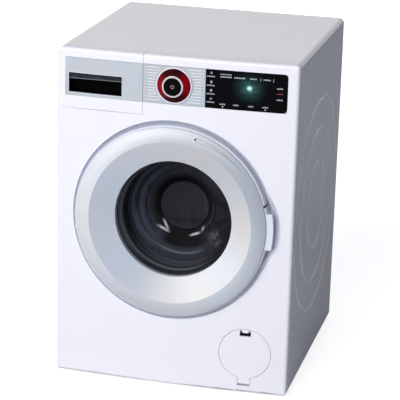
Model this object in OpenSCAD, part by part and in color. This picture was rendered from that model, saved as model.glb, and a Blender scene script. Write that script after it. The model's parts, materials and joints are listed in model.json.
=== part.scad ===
// Toy washing machine that stands on four feet and opens like the real appliance.
// X runs to the right, Y to the back and Z up. The origin is the bottom centre of its box.
// Depths named *_a are millimetres behind the plane of the cabinet's front corners.

/* [Cabinet] */
// Width of the cabinet
body_w = 185; // [181:1:200]
// Depth from the front corners to the back
body_d = 184; // [180:1:210]
// Height of the cabinet above its feet
body_h = 260; // [258:1:285]
// Wall of the white mouldings
wall = 2.2; // [1.8:0.1:2.6]
// Rise of the bowed front in its middle
bow_rise = 3; // [1.5:0.25:4]
// Radius of the long edges between the top and the sides
edge_r = 4; // [3:0.25:6]
// Radius of the edges round the front
front_edge_r = 2.5; // [1.5:0.25:3.5]
// Depth of the front panel's rim
rim_depth = 10; // [8:0.5:12]
// Thickness of the base plate
base_t = 2.5; // [2:0.1:3.5]
// Thickness of the rear cover
cover_t = 2.2; // [1.8:0.1:3]
// Height of a foot
foot_h = 2; // [1.5:0.25:5]
// Radius of a foot
foot_r = 9; // [6:0.5:12]
// Distance from a foot's centre to the nearest outer faces
foot_inset = 22; // [16:1:30]
// Radii of the ring grooves on each side
side_rings = [35, 62, 85.5];
// Radius of the tool that cuts a ring groove
ring_cut_r = 3; // [2:0.25:4]
// Depth of a ring groove
ring_cut_depth = 0.8; // [0.3:0.1:1]

/* [Door] */
// Door centre to the right of the cabinet's middle
door_shift = -0.9; // [-2:0.1:2]
// Distance of the door's centre below the top
door_drop = 127; // [126:0.5:130]
// Radius of the recess that the door lies in
recess_r = 78.4; // [78:0.1:80]
// Depth of the recess floor
recess_a = 3; // [2.5:0.25:5]
// Radius of the white door frame
frame_r = 75.2; // [74.8:0.1:75.6]
// Distance of the door's face ahead of the front corners
door_lead = 10; // [9:0.25:12]
// Outer radius of the silver ring
ring_r = 74; // [73:0.1:74.4]
// Radius of the ring's crest, where its lip turns into its cone
lip_r = 63.3; // [60:0.1:66]
// Height that the lip falls from the crest to its outer edge
lip_fall = 2.2; // [1:0.1:2.6]
// Depth of the groove that draws the crescent on the lip
crescent_depth = 0.6; // [0.2:0.05:0.9]
// Width of that groove
crescent_line = 0.5; // [0.3:0.05:0.8]
// Radius of the crescent's outer edge
crescent_out = 70.8; // [70:0.1:71.5]
// Distance of its inner edge from the door's centre, at its broad end
crescent_in = 68.4; // [67.5:0.1:69]
// Direction of its pointed end, anticlockwise from the right
crescent_from = 45; // [40:1:55]
// Direction of its broad end
crescent_to = 74; // [65:1:80]
// Thickness of the silver ring
ring_t = 1.8; // [1.4:0.1:2.2]
// Radius of the round window
glass_r = 45.8; // [44:0.1:47]
// Depth of the window's front edge
glass_a = 1.5; // [1:0.25:2.5]
// Depth of the window bowl's inner bottom
bowl_a = 40; // [34:0.5:44]
// Radius of the flat bottom of the bowl
bowl_disc_r = 19; // [15:0.5:22]
// Thickness of the window bowl
glass_t = 1.6; // [1.2:0.1:2]
// Height of the handle tab
tab_h = 28; // [20:1:36]
// Reach of the handle tab from the door's centre
tab_r = 79.3; // [78:0.1:80]
// Radius of the finger pocket beside the door
pocket_r = 47.2; // [45:0.2:50]
// Depth of the finger pocket's floor
pocket_a = 5; // [4:0.5:8]
// Width of the pocket's sloping wall
pocket_slope = 6.5; // [3:0.5:8]

/* [Control strip] */
// Height of the control strip
strip_h = 29.4; // [26:0.2:32]
// White margin above the control strip
strip_drop = 7; // [5:0.5:10]
// Width of the drawer's front from the left side to the seam
drawer_w = 67.5; // [60:0.5:72]
// Height of the drawer's front from the top down
drawer_h = 45.8; // [43:0.2:46]
// Width of the black display window
display_w = 61.1; // [54:0.5:64]
// White margin to the right of the display window
display_margin = 8.6; // [6:0.2:12]
// Radius of the display window's right corners
display_r = 3; // [1:0.5:5]
// Width of the lit screen
screen_w = 40; // [30:1:44]
// Height of the lit screen
screen_h = 15.3; // [12:0.1:18]
// Thickness of the silver plates and the display window
plate_t = 1.2; // [1:0.1:1.5]
// Height that plates stand proud of the bowed front
plate_proud = 0.2; // [0.1:0.05:0.4]
// Outer radius of the red knob
knob_r = 12.6; // [11:0.1:13.4]
// Radius of the knob's silver bezel
knob_bezel_r = 8.1; // [7.7:0.1:9]
// Radius of the knob's black cap
knob_cap_r = 6.8; // [5:0.1:6.8]
// Height of the knob above the silver plate
knob_h = 5; // [4:0.25:7]
// Radius of the knob's shaft
knob_shaft_r = 3; // [2:0.1:4]
// Width of the pull opening in the drawer's front
pull_w = 42; // [34:0.5:46]
// Height of the pull opening
pull_h = 15; // [13:0.2:17]
// Distance from the cabinet's left side to the pull opening
pull_x = 9.1; // [8.8:0.1:12]
// Height of the pull opening above the strip's lower edge
pull_lift = 2.6; // [2:0.1:5]
// Depth of the back of the drawer's housing
housing_a1 = 100; // [96:1:110]
// Distance of the tray's back ahead of the back of its housing
tray_gap = 10; // [4:0.5:14]

/* [Service flap] */
// Radius of the round service flap
flap_r = 20; // [17:0.25:21]
// Distance from the flap's centre to the cabinet's right side
flap_x_in = 33.2; // [31:0.2:38]
// Height of the flap's centre above the cabinet's underside
flap_z_up = 32.3; // [31:0.1:36]
// Thickness of the flap
flap_t = 1.8; // [1.4:0.1:2]
// Depth of the well behind the flap
well_a = 14; // [8:0.5:20]
// Width of the finger notch in the flap
notch_w = 8.6; // [7:0.2:10]

/* [Drum] */
// Radius of the drum
drum_r = 67; // [62:0.5:67.5]
// Wall of the drum
drum_t = 1.6; // [1.2:0.1:2]
// Depth of the drum's front lip
drum_a = 28; // [27:0.5:30]
// Depth kept behind the drum for its bearing and its drive
drive_room = 76; // [70:1:90]
// Radius of the drum's mouth
drum_mouth_r = 52; // [50.5:0.25:54]
// Gap between the drum and the tub round it
drum_gap = 2.4; // [1.5:0.1:3]
// Wall of the tub
tub_t = 2; // [1.6:0.1:2.4]
// Radius of the drum's shaft
shaft_r = 3; // [2:0.1:4]
// Height of the paddles inside the drum
paddle_h = 12; // [8:0.5:16]
// Number of paddles
paddle_count = 3; // [2:1:5]

/* [Drive] */
// Module of the gear teeth
gear_m = 1; // [0.8:0.05:1.1]
// Teeth of the gear on the drum's shaft
drum_teeth = 48; // [40:2:50]
// Teeth of the idler gear
idler_teeth = 20; // [16:1:24]
// Teeth of the pinion on the motor
pinion_teeth = 12; // [12:1:16]
// Width of the gears
gear_t = 6; // [4:0.5:8]
// Radius of the idler's axle
axle_r = 2; // [1.5:0.1:2.5]
// Radius of the motor's can
motor_r = 12; // [9:0.5:14]
// Length of the motor's can
motor_len = 25; // [18:0.5:32]

/* [Battery bay] */
// Radius of a cell
cell_r = 7.2; // [5.2:0.1:7.4]
// Length of a cell
cell_len = 50; // [44:0.5:51]
// Number of cells
cell_count = 4; // [2:1:4]
// Wall of the battery box
box_t = 1.6; // [1.2:0.1:2]

/* [Water path] */
// Outer radius of the spigots that take a hose
spigot_r = 4; // [3:0.1:5]
// Bore radius of the spigots and the tubes on them
spigot_bore_r = 2.6; // [1.8:0.1:2.8]
// Reach of the drain spout behind the back
spout_len = 10; // [8:0.5:14]
// Drop of the drain spout below the tub
spout_drop = 23.6; // [23:0.2:30]
// Wall of the soft tubes
tube_t = 1.4; // [1:0.1:1.8]

/* [Fits] */
// Gap at a seam between two mouldings
seam = 0.35; // [0.3:0.05:0.6]
// Gap round a plate in its seat
seat_gap = 0.2; // [0.1:0.05:0.3]
// Radial running clearance of shafts and pins
run_fit = 0.05; // [0.02:0.01:0.08]
// Clearance between a moving piece and its housing
slack = 0.5; // [0.35:0.05:0.7]

/* [Hidden] */

fn_bow = 720;
fn_big = 144;
fn_mid = 72;
fn_small = 36;
eps = 0.01;
far = 400;

// Overall places
front_y = -(body_d + spout_len - door_lead) / 2;
back_y = front_y + body_d;
half_w = body_w / 2;
top_z = foot_h + body_h;
base_top = foot_h + base_t;
inner_x = half_w - wall;
bow_r = (half_w * half_w + bow_rise * bow_rise) / (2 * bow_rise);
bow_y = front_y - bow_rise + bow_r;
door_x = door_shift;
door_z = top_z - door_drop;

// Depth of the bowed front at a place x
function bow_a(x) = -bow_rise + bow_r - sqrt(bow_r * bow_r - x * x);

// Door depths
ring_face_a = -door_lead;
ring_edge_r = 0.8;
ring_back_a = ring_face_a + lip_fall + ring_edge_r + 0.4;
lip_run = ring_r - ring_edge_r - lip_r;
lip_arc_r = (lip_run * lip_run + lip_fall * lip_fall) / (2 * lip_fall);
lip_turn = asin(lip_run / lip_arc_r);
frame_front_a = ring_back_a + seam;
frame_back_a = recess_a - 0.8;
frame_floor_a = frame_back_a - box_t;
cone_run = lip_r - glass_r;
cone_rise = glass_a - ring_face_a;
cone_len = sqrt(cone_run * cone_run + cone_rise * cone_rise);
collar_t = 2.6;
glass_seat_a = glass_a + 2.1;
flange_r = glass_r + 5.2;
hub_ring_r = flange_r + seat_gap;
hub_ring_t = 1.6;
retainer_t = 1.4;
porthole_r = hub_ring_r + hub_ring_t + 1.2;

// Hinge of the door
hinge_r = frame_r - 1.6;
hinge_x = door_x - hinge_r;
hinge_a = -4;
hinge_pin_r = 0.8;
knuckle_r = 1.7;
knuckle_h = 12;
lug_h = 6;
lug_gap = 0.4;

// Latch of the door
latch_dx = 59.4;
latch_w = 10;
latch_t = 2.4;
latch_tip_a = 14;
latch_wall = 1.4;
// Extra reach of the latch's tip as the door swings
latch_far = hinge_r + latch_dx + latch_t;
latch_sweep = sqrt(latch_far * latch_far + pow(latch_tip_a - hinge_a, 2)) - latch_far;
latch_slot_x1 = door_x + latch_dx + latch_t + latch_sweep + slack;

// Control strip places
strip_z1 = top_z - strip_drop;
strip_z0 = strip_z1 - strip_h;
strip_mid = (strip_z0 + strip_z1) / 2;
seam_x = -half_w + drawer_w;
display_x1 = half_w - display_margin;
display_x0 = display_x1 - display_w;
knob_x = (seam_x + display_x0) / 2;
screen_x0 = display_x0 + 9.1;
screen_z0 = strip_z0 + 6.3;
seat_depth = plate_t - plate_proud;
board_a = 16;
board_t = 1.6;
board_x0 = knob_x - 20;
board_x1 = display_x1;
post_inset = 4;
post_r = 2.5;

// Drawer places
drawer_z0 = top_z - drawer_h;
drawer_x1 = seam_x - seam;
drawer_back_a = rim_depth - seam;
trim_x0 = -half_w + 6.5;
pull_x0 = -half_w + pull_x;
pull_z0 = strip_z0 + pull_lift;
cup_t = 1.2;
cup_a = drawer_back_a - cup_t;
housing_x0 = -inner_x;
housing_x1 = seam_x - 2;
housing_z0 = drawer_z0 + 0.4;
housing_a0 = rim_depth + 2.6;
housing_t = 1.6;
tray_x0 = housing_x0 + housing_t + slack;
tray_x1 = housing_x1 - housing_t - slack;
tray_z0 = housing_z0 + housing_t + slack;
tray_a1 = housing_a1 - tray_gap;
tray_h = 24;
tray_face_t = 2;

// Flap places
flap_x = half_w - flap_x_in;
flap_z = foot_h + flap_z_up;
flap_axis_z = flap_z - flap_r - 3.2;
flap_axis_a = bow_a(flap_x) + 1.5;
flap_tab_w = 9.4;
flap_seat_a = bow_a(flap_x + flap_r) + flap_t + 0.5;
flap_knuckle_r = 1.5;
flap_pin_r = 0.7;
well_r = flap_r - 3;
flap_pocket_h = 3.4;
notch_h = 5;
notch_bridge = 1;
tongue_w = notch_w - 3.8;
tongue_h = 2;

// Tub and drum places
tub_in_r = drum_r + drum_gap;
tub_r = tub_in_r + tub_t;
tub_a0 = drum_a - 2 - tub_t;
drum_back_a = body_d - drive_room;
drum_len = drum_back_a - drum_a;
hub_r = 12;
hub_len = 12;
hub_back_a = drum_back_a + 4;
tub_back_a = hub_back_a + 2 + tub_t;
boss_r = 9;
boss_len = 10;
bush_r = 5.5;
bush_flange_t = 1;
tub_mouth_r = 57;
saddle_t = 3;
saddle_leg = 14;
spout_z = door_z - tub_r - spout_drop;

// Drive places
gear_a = tub_back_a + boss_len + bush_flange_t + 2;
plate_a = gear_a + gear_t + 2;
gear_plate_t = 2.5;
mesh_gap = 0.1;
train_angle = -60;
drum_idler = gear_m * (drum_teeth + idler_teeth) / 2 + mesh_gap;
idler_pinion = gear_m * (idler_teeth + pinion_teeth) / 2 + mesh_gap;
idler_x = door_x + drum_idler * cos(train_angle);
idler_z = door_z + drum_idler * sin(train_angle);
pinion_x = idler_x + idler_pinion * cos(train_angle);
pinion_z = idler_z + idler_pinion * sin(train_angle);
motor_shaft_r = 1;
pressure_angle = 20;
tooth_play = 0.14;
standoff_r = 3;

// Battery bay places
cell_pitch = 2 * cell_r + 0.3;
bay_len = cell_count * cell_pitch + 0.8;
bay_a0 = tub_a0 + 6;
bay_half_x = cell_len / 2 + 1.6;
bay_x1 = bay_half_x + 7.4;
bay_top = base_top + 2 * cell_r + 0.8;
bay_screw_x = bay_half_x + 3.9;
cell_z = base_top + cell_r;
screw_r = 0.9;

// Other places
fill_x = (tray_x0 + tray_x1) / 2;
fill_a = 60;
drain_a = drum_back_a - 8;
hose_r = spigot_r + run_fit;
hose_out_r = hose_r + tube_t;
speaker_r = 14;
speaker_x = -half_w + 32;
speaker_a = 62;
rear_post_r = 4;
rear_post_len = 12;

// Helpers --------------------------------------------------------------------------------

// Rod along the depth axis from depth a0 to depth a1
module rod(x, z, a0, a1, r, fn = fn_mid)
    translate([x, front_y + a0, z])
    rotate([-90, 0, 0])
        cylinder(r = r, h = a1 - a0, $fn = fn);

// Box given by its low and high corner, with depths in place of Y
module block(x0, x1, a0, a1, z0, z1)
    translate([x0, front_y + a0, z0])
        cube([x1 - x0, a1 - a0, z1 - z0]);

// Lathe about the depth axis of a profile drawn as [radius, depth]
module lathe(x, z, points, fn = fn_big)
    translate([x, front_y, z])
    rotate([-90, 0, 0])
    rotate_extrude($fn = fn)
        polygon(points);

// Lathe about the upright axis
module lathe_up(x, a, points, fn = fn_mid)
    translate([x, front_y + a, 0])
    rotate_extrude($fn = fn)
        polygon(points);

// Points on an arc
function arc(cx, cy, r, from, to, steps) =
    [for (i = [0 : steps]) let (t = from + (to - from) * i / steps) [cx + r * cos(t), cy + r * sin(t)]];

// Layer of the bowed front between two depths behind its surface
module bowed(d0, d1, x0, x1, z0, z1)
    translate([0, 0, z0])
    linear_extrude(height = z1 - z0)
    intersection() {
        translate([x0, front_y - bow_rise - wall]) square([x1 - x0, 8 * wall]);
        translate([0, bow_y]) difference() {
            circle(r = bow_r - d0, $fn = fn_bow);
            circle(r = bow_r - d1, $fn = fn_bow);
        }
    }

// Rectangle with four rounded corners
module round_rect(x0, x1, y0, y1, r) {
    translate([x0 + r, y0]) square([x1 - x0 - 2 * r, y1 - y0]);
    translate([x0, y0 + r]) square([x1 - x0, y1 - y0 - 2 * r]);
    for (x = [x0 + r, x1 - r], y = [y0 + r, y1 - r])
        translate([x, y]) circle(r = r, $fn = fn_small);
}

// Outer outline of the cabinet seen from the front, extruded between two depths
module cabinet_block(inset, a0, a1)
    translate([0, front_y + a1, 0])
    rotate([90, 0, 0])
    linear_extrude(height = a1 - a0)
        round_rect(-half_w + inset, half_w - inset, foot_h + inset, top_z - inset, edge_r - inset * 0.6);

// Plan of the bowed front with its two rounded corners
module front_plan(inset, depth) {
    r = front_edge_r;
    tip_x = half_w - inset - r;
    tip_y = bow_y - sqrt(pow(bow_r - inset - r, 2) - tip_x * tip_x);
    edge_x = tip_x * (bow_r - inset) / (bow_r - inset - r);
    difference() {
        union() {
            intersection() {
                translate([0, bow_y]) circle(r = bow_r - inset, $fn = fn_bow);
                translate([-edge_x, front_y - bow_rise - 1]) square([2 * edge_x, depth + bow_rise + 1]);
            }
            for (s = [-1, 1])
                translate([s * tip_x, tip_y]) circle(r = r, $fn = fn_small);
            translate([-half_w + inset, tip_y])
                square([body_w - 2 * inset, front_y + depth - tip_y]);
        }
        translate([-half_w, front_y + depth]) square([body_w, 4 * depth]);
    }
}

// Solid block behind the bowed front, rounded at every front edge
module front_block(inset, depth)
    intersection() {
        linear_extrude(height = top_z + 1) front_plan(inset, depth);
        cabinet_block(inset, -bow_rise - 2, depth + 1);
        translate([0, bow_y, 0])
        rotate_extrude($fn = fn_bow)
        intersection() {
            round_rect(bow_r - 40, bow_r - inset, foot_h + inset, top_z - inset, front_edge_r);
            translate([bow_r - 30, 0]) square([40, top_z + 1]);
        }
    }

// The corner block of the front that slides out with the drawer, grown by a margin
module drawer_zone(grow)
    block(-far, drawer_x1 + grow, -far / 4, rim_depth + 1, drawer_z0 - grow, far);

// Ring grooves on both sides of the cabinet
module ring_grooves() {
    for (s = [-1, 1], r = side_rings)
        translate([s * (half_w + ring_cut_r - ring_cut_depth), front_y + body_d / 2, top_z / 2])
        rotate([0, 90, 0])
        rotate_extrude($fn = fn_big)
        translate([r, 0])
            circle(r = ring_cut_r, $fn = fn_small);
}

// Radial position helper for screws round the door
screw_ring_r = (ring_r + lip_r) / 2 - 0.3;
screw_count = 6;
function screw_angle(i) = 30 + i * 360 / screw_count;
function screw_x(i) = door_x + screw_ring_r * cos(screw_angle(i));
function screw_z(i) = door_z + screw_ring_r * sin(screw_angle(i));

// Involute gear outline with its first tooth centred on angle 0
function inv(a) = tan(a) * 180 / PI - a;
function tooth_half(z, r) =
    let (rb = gear_m * z / 2 * cos(pressure_angle))
    90 / z - tooth_play / (gear_m * z) * 180 / PI + inv(pressure_angle) - inv(acos(min(1, rb / r)));
function gear_points(z) =
    let (rp = gear_m * z / 2, root = rp - 1.2 * gear_m, tip = rp + 0.85 * gear_m,
         start = max(root, rp * cos(pressure_angle)))
    [for (i = [0 : z - 1]) let (c = i * 360 / z)
        for (p = [[root, -tooth_half(z, start)], [rp, -tooth_half(z, rp)], [tip, -tooth_half(z, tip)],
                  [tip, tooth_half(z, tip)], [rp, tooth_half(z, rp)], [root, tooth_half(z, start)]])
            [p[0] * cos(c + p[1]), p[0] * sin(c + p[1])]];

// Gear seen from the front with a tooth centred on the given angle
module gear(x, z, teeth, angle, a0, a1)
    translate([x, front_y + a1, z])
    rotate([90, 0, 0])
    rotate([0, 0, angle])
    linear_extrude(height = a1 - a0)
        polygon(gear_points(teeth));

// Countersunk screw along the depth axis, head towards the back
module rear_screw(x, z, head_a, depth, r, head_r, head_t) {
    rod(x, z, head_a - depth, head_a, r, fn_small);
    difference() {
        rod(x, z, head_a - head_t, head_a, head_r, fn_small);
        block(x - head_r, x + head_r, head_a - head_t / 2, head_a + 1, z - r / 3, z + r / 3);
    }
}

// Cabinet --------------------------------------------------------------------------------

// Places of the four posts that hold the rear cover
rear_posts = [for (s = [-1, 1], z = [base_top + 12, top_z - wall - 10]) [s * (inner_x - rear_post_r + 0.5), z]];

module cabinet_shell()
    color("whitesmoke") {
        difference() {
            union() {
                difference() {
                    cabinet_block(0, rim_depth, body_d);
                    block(-inner_x, inner_x, rim_depth - 1, body_d + 1, -1, top_z - wall);
                    ring_grooves();
                }
                for (p = rear_posts)
                    rod(p[0], p[1], body_d - cover_t - rear_post_len, body_d - cover_t, rear_post_r, fn_small);
            }
            for (p = rear_posts)
                rod(p[0], p[1], body_d - cover_t - rear_post_len + 2, body_d, screw_r + run_fit, fn_small);
        }
    }

// Solid behind the recess, the finger pocket, the flap and the strip
module panel_backing() {
    intersection() {
        union() {
            rod(door_x, door_z, -bow_rise - 1, recess_a + wall, recess_r + wall, fn_big);
            difference() {
                pocket_scoop(wall);
                rod(door_x, door_z, recess_a + wall, far / 4, pocket_in_r - wall, fn_big);
            }
            rod(flap_x, flap_z, -bow_rise - 1, flap_seat_a + wall, flap_r + seam + wall, fn_mid);
            flap_pocket_back(0);
            block(seam_x, display_x1 + wall, -bow_rise - 1, bow_a(0) + seat_depth + wall, strip_z0 - wall,
                  strip_z1 + wall);
        }
        front_block(0, rim_depth);
    }
    for (x = [board_x0 + post_inset, board_x1 - post_inset], z = [strip_z0 + post_inset, strip_z1 - post_inset])
        rod(x, z, bow_a(x) + wall / 2, board_a, post_r, fn_small);
}

pocket_x = door_x + 36.5;
pocket_z = door_z - 1;
pocket_in_r = 69;

// Bowl of the finger pocket with its sloping wall, grown by a margin
module pocket_scoop(grow)
    lathe(pocket_x, pocket_z, [
        [0, -bow_rise - 2], [pocket_r + grow, -bow_rise - 2], [pocket_r + grow, grow],
        [pocket_r - pocket_slope + grow, pocket_a + grow], [0, pocket_a + grow]]);

module front_panel()
    color("whitesmoke")
    difference() {
        union() {
            difference() {
                front_block(0, rim_depth);
                difference() {
                    front_block(wall, rim_depth + 2);
                    drawer_zone(seam + wall);
                }
            }
            panel_backing();
        }
        drawer_zone(seam);
        ring_grooves();
        rod(door_x, door_z, -bow_rise - 2, recess_a, recess_r, fn_big);
        difference() {
            pocket_scoop(0);
            rod(door_x, door_z, recess_a, far / 4, pocket_in_r, fn_big);
        }
        rod(door_x, door_z, -bow_rise - 2, far / 4, porthole_r, fn_big);
        // seats of the silver plate and the display window
        bowed(-wall, seat_depth, seam_x - 1, display_x0, strip_z0, strip_z1);
        bowed(-wall, seat_depth, display_x0 - eps, display_x1 + seat_gap, strip_z0, strip_z1);
        block(screen_x0, screen_x0 + screen_w, -bow_rise - 1, rim_depth, screen_z0, screen_z0 + screen_h);
        rod(knob_x, strip_mid, -bow_rise - 1, rim_depth, knob_shaft_r + slack, fn_mid);
        // seat, well and hinge pocket of the service flap
        rod(flap_x, flap_z, -bow_rise - 2, flap_seat_a, flap_r + seam, fn_mid);
        rod(flap_x, flap_z, 0, far / 4, well_r, fn_mid);
        block(flap_x - flap_tab_w / 2 - seam, flap_x + flap_tab_w / 2 + seam, -bow_rise - 2,
              flap_seat_a + 1, flap_axis_z - flap_pocket_h, flap_z - flap_r + 4);
        translate([flap_x - flap_tab_w / 2 - 2.6, front_y + flap_axis_a, flap_axis_z])
        rotate([0, 90, 0])
            cylinder(r = flap_pin_r + run_fit, h = flap_tab_w + 5.2, $fn = fn_small);
        // slots of the door's hinge lugs and latch
        for (s = [-1, 1])
            block(hinge_x - knuckle_r - seat_gap, hinge_x + knuckle_r + seat_gap, 0, recess_a + wall + 1,
                  door_z + s * lug_mid - lug_h / 2 - seat_gap, door_z + s * lug_mid + lug_h / 2 + seat_gap);
        latch_slot(0, recess_a + wall + 1);
    }

lug_mid = knuckle_h / 2 + lug_gap + lug_h / 2;

// Solid behind the flap's hinge pocket
module flap_pocket_back(grow)
    block(flap_x - flap_tab_w / 2 - 3.5 - grow, flap_x + flap_tab_w / 2 + 3.5 + grow, -bow_rise - 1,
          flap_seat_a + wall + 1 + grow, flap_axis_z - flap_pocket_h - wall, flap_z - flap_r + 4 + wall + grow);

// Cup that closes the flap's well behind the panel
module flap_cup()
    color("darkslategray")
    difference() {
        union() {
            rod(flap_x, flap_z, flap_seat_a + wall, flap_seat_a + 2 * wall, well_r + 2 * wall, fn_mid);
            rod(flap_x, flap_z, flap_seat_a + wall, well_a + wall, well_r + wall, fn_mid);
        }
        rod(flap_x, flap_z, 0, well_a, well_r, fn_mid);
        flap_pocket_back(seat_gap);
    }

module base_plate()
    color("gainsboro")
    difference() {
        union() {
            block(-inner_x, inner_x, rim_depth, body_d - cover_t - seat_gap, foot_h, base_top);
            for (x = [-1, 1])
                block(x * (inner_x - 4) - 1, x * (inner_x - 4) + 1, rim_depth + 6,
                      body_d - cover_t - rear_post_len - 4,
                      base_top - eps, base_top + 4);
        }
        block(-bay_half_x, bay_x1, bay_a0, bay_a0 + bay_len, foot_h - 1, base_top + 1);
        for (i = [-3 : 3])
            block(speaker_x + i * 3.4 - 0.8, speaker_x + i * 3.4 + 0.8, speaker_a - 9, speaker_a + 9,
                  foot_h - 1, base_top + 1);
    }

module rear_cover()
    color("gainsboro")
    difference() {
        union() {
            block(-inner_x + seat_gap, inner_x - seat_gap, body_d - cover_t, body_d,
                  base_top + seat_gap - base_t, top_z - wall - seat_gap);
            block(-inner_x + 14, inner_x - 14, body_d - cover_t - 2, body_d - cover_t + eps,
                  door_z + 58, door_z + 60);
        }
        for (i = [0 : 5], s = [-1, 1])
            block(s * 34 - 22, s * 34 + 22, body_d - cover_t - 1, body_d + 1, top_z - 40 - i * 7, top_z - 37 - i * 7);
        for (p = rear_posts) {
            rod(p[0], p[1], body_d - cover_t - 1, body_d + 1, screw_r + 0.3, fn_small);
            rod(p[0], p[1], body_d - 1.1, body_d + 1, 2.4, fn_small);
        }
        rod(door_x, spout_z, body_d - cover_t - 1, body_d + 1, spigot_r + seat_gap, fn_mid);
    }

module rear_screws()
    color("silver")
    for (p = rear_posts)
        rear_screw(p[0], p[1], body_d - 0.1, 10, screw_r, 2.2, 1);

module foot(sx, back)
    color("dimgray")
    translate([sx * (half_w - foot_inset), back ? back_y - foot_inset : front_y + foot_inset, 0])
        cylinder(r1 = foot_r - 1, r2 = foot_r, h = foot_h, $fn = fn_mid);

module foot_front_left() foot(-1, false);
module foot_front_right() foot(1, false);
module foot_rear_left() foot(-1, true);
module foot_rear_right() foot(1, true);

// Control strip ---------------------------------------------------------------------------

module knob_plate()
    color("silver")
    difference() {
        bowed(-plate_proud, seat_depth, seam_x, display_x0 - seam / 2, strip_z0 + seat_gap, strip_z1 - seat_gap);
        rod(knob_x, strip_mid, -bow_rise - 2, rim_depth, knob_shaft_r + slack, fn_mid);
    }

module knob_collar()
    color("white")
    difference() {
        rod(knob_x, strip_mid, knob_base_a - 0.8, knob_base_a, knob_r + 1, fn_mid);
        rod(knob_x, strip_mid, knob_base_a - 2, knob_base_a + 1, knob_r + 0.3, fn_mid);
    }

// Depth of the silver plate's crest, where the knob stands
knob_base_a = bow_a(knob_x) - plate_proud;

module display_window()
    color("black")
    intersection() {
        bowed(-plate_proud, seat_depth, display_x0, display_x1 + 1, strip_z0 - 1, strip_z1 + 1);
        translate([0, front_y + rim_depth, 0])
        rotate([90, 0, 0])
        linear_extrude(height = 2 * rim_depth)
            round_rect(display_x0 - 3 * display_r, display_x1, strip_z0 + seat_gap, strip_z1 - seat_gap,
                       display_r);
    }

module display_screen()
    color("teal")
    bowed(seat_depth, seat_depth + 1, screen_x0 + seat_gap, screen_x0 + screen_w - seat_gap,
          screen_z0 + seat_gap, screen_z0 + screen_h - seat_gap);

lamp_x = screen_x0 + 0.58 * screen_w;
lamp_z = screen_z0 + 0.72 * screen_h;
lamp_r = 2.5;

module display_lamp()
    color("white") {
        rod(lamp_x, lamp_z, board_a - 5, board_a, lamp_r, fn_small);
        translate([lamp_x, front_y + board_a - 5, lamp_z]) sphere(r = lamp_r, $fn = fn_small);
    }

// Chips on the board as [distance from its right end, width, half height, thickness], and its capacitor
board_chips = [[55, 14, 7, 2], [27, 12, 4, 1.6]];
can_r = 3;

module control_board()
    color("green")
    difference() {
        union() {
            block(board_x0, board_x1, board_a, board_a + board_t, strip_z0, strip_z1);
            for (c = board_chips)
                block(board_x1 - c[0], board_x1 - c[0] + c[1], board_a + board_t - eps, board_a + board_t + c[3],
                      strip_mid - c[2], strip_mid + c[2]);
            rod(board_x1 - 2 * can_r, strip_mid, board_a + board_t - eps, board_a + board_t + 7, can_r, fn_small);
        }
        for (x = [board_x0 + post_inset, board_x1 - post_inset], z = [strip_z0 + post_inset, strip_z1 - post_inset])
            rod(x, z, board_a - 1, board_a + board_t + 1, 1, fn_small);
    }

switch_a0 = board_a - 4.5;
knob_shaft_end = board_a - 1;

module knob_switch()
    color("darkslategray")
    difference() {
        block(knob_x - 6, knob_x + 6, switch_a0, board_a, strip_mid - 6, strip_mid + 6);
        rod(knob_x, strip_mid, switch_a0 - 1, knob_shaft_end + 0.3, knob_shaft_r + run_fit, fn_mid);
    }

module knob_ring()
    color("firebrick") {
        lathe(knob_x, strip_mid, [
            [knob_bezel_r - 1, knob_base_a - 0.3], [knob_r, knob_base_a - 0.3], [knob_r, knob_base_a - 1],
            [knob_bezel_r + 0.9, knob_base_a - knob_h + 0.9], [knob_bezel_r, knob_base_a - knob_h + 0.5],
            [knob_bezel_r - 1, knob_base_a - knob_h + 0.5]], fn_mid);
    }

module knob_bezel()
    color("silver")
    lathe(knob_x, strip_mid, [
        [knob_cap_r + run_fit, knob_base_a - knob_h + 0.5], [knob_bezel_r, knob_base_a - knob_h + 0.5],
        [knob_bezel_r, knob_base_a - knob_h + 0.2], [knob_bezel_r - 0.4, knob_base_a - knob_h - 0.1],
        [knob_cap_r + run_fit, knob_base_a - knob_h - 0.1]], fn_mid);

module knob_cap()
    color("black")
    union() {
        lathe(knob_x, strip_mid, [
            [0, knob_base_a - 0.3], [knob_bezel_r - 1 - run_fit, knob_base_a - 0.3],
            [knob_bezel_r - 1 - run_fit, knob_base_a - knob_h + 0.5], [knob_cap_r, knob_base_a - knob_h + 0.5],
            [knob_cap_r, knob_base_a - knob_h], [knob_cap_r - 0.5, knob_base_a - knob_h - 0.2],
            [1.2, knob_base_a - knob_h - 0.2], [0.8, knob_base_a - knob_h + 0.1], [0, knob_base_a - knob_h + 0.1]],
            fn_mid);
        rod(knob_x, strip_mid, knob_base_a - 0.3, knob_shaft_end, knob_shaft_r, fn_mid);
    }

// Drawer ----------------------------------------------------------------------------------

module drawer_front()
    color("whitesmoke")
    difference() {
        intersection() {
            difference() {
                front_block(0, drawer_back_a);
                difference() {
                    front_block(wall, rim_depth + 2);
                    block(drawer_x1 - wall, far, -far / 4, far / 4, 0, far);
                    block(-far, far, -far / 4, far / 4, 0, drawer_z0 + wall);
                }
            }
            drawer_zone(0);
        }
        bowed(-wall, seat_depth, trim_x0 - seat_gap, drawer_x1 + 1, strip_z0, strip_z1);
        block(pull_x0 - cup_t - seat_gap, pull_x0 + pull_w + cup_t + seat_gap, -bow_rise - 2, rim_depth - 1,
              pull_z0 - cup_t - seat_gap, pull_z0 + pull_h + cup_t + seat_gap);
    }

module drawer_trim()
    color("silver")
    difference() {
        bowed(-plate_proud, seat_depth, trim_x0, drawer_x1, strip_z0 + seat_gap, strip_z1 - seat_gap);
        block(pull_x0, pull_x0 + pull_w, -bow_rise - 2, rim_depth, pull_z0, pull_z0 + pull_h);
    }

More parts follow.
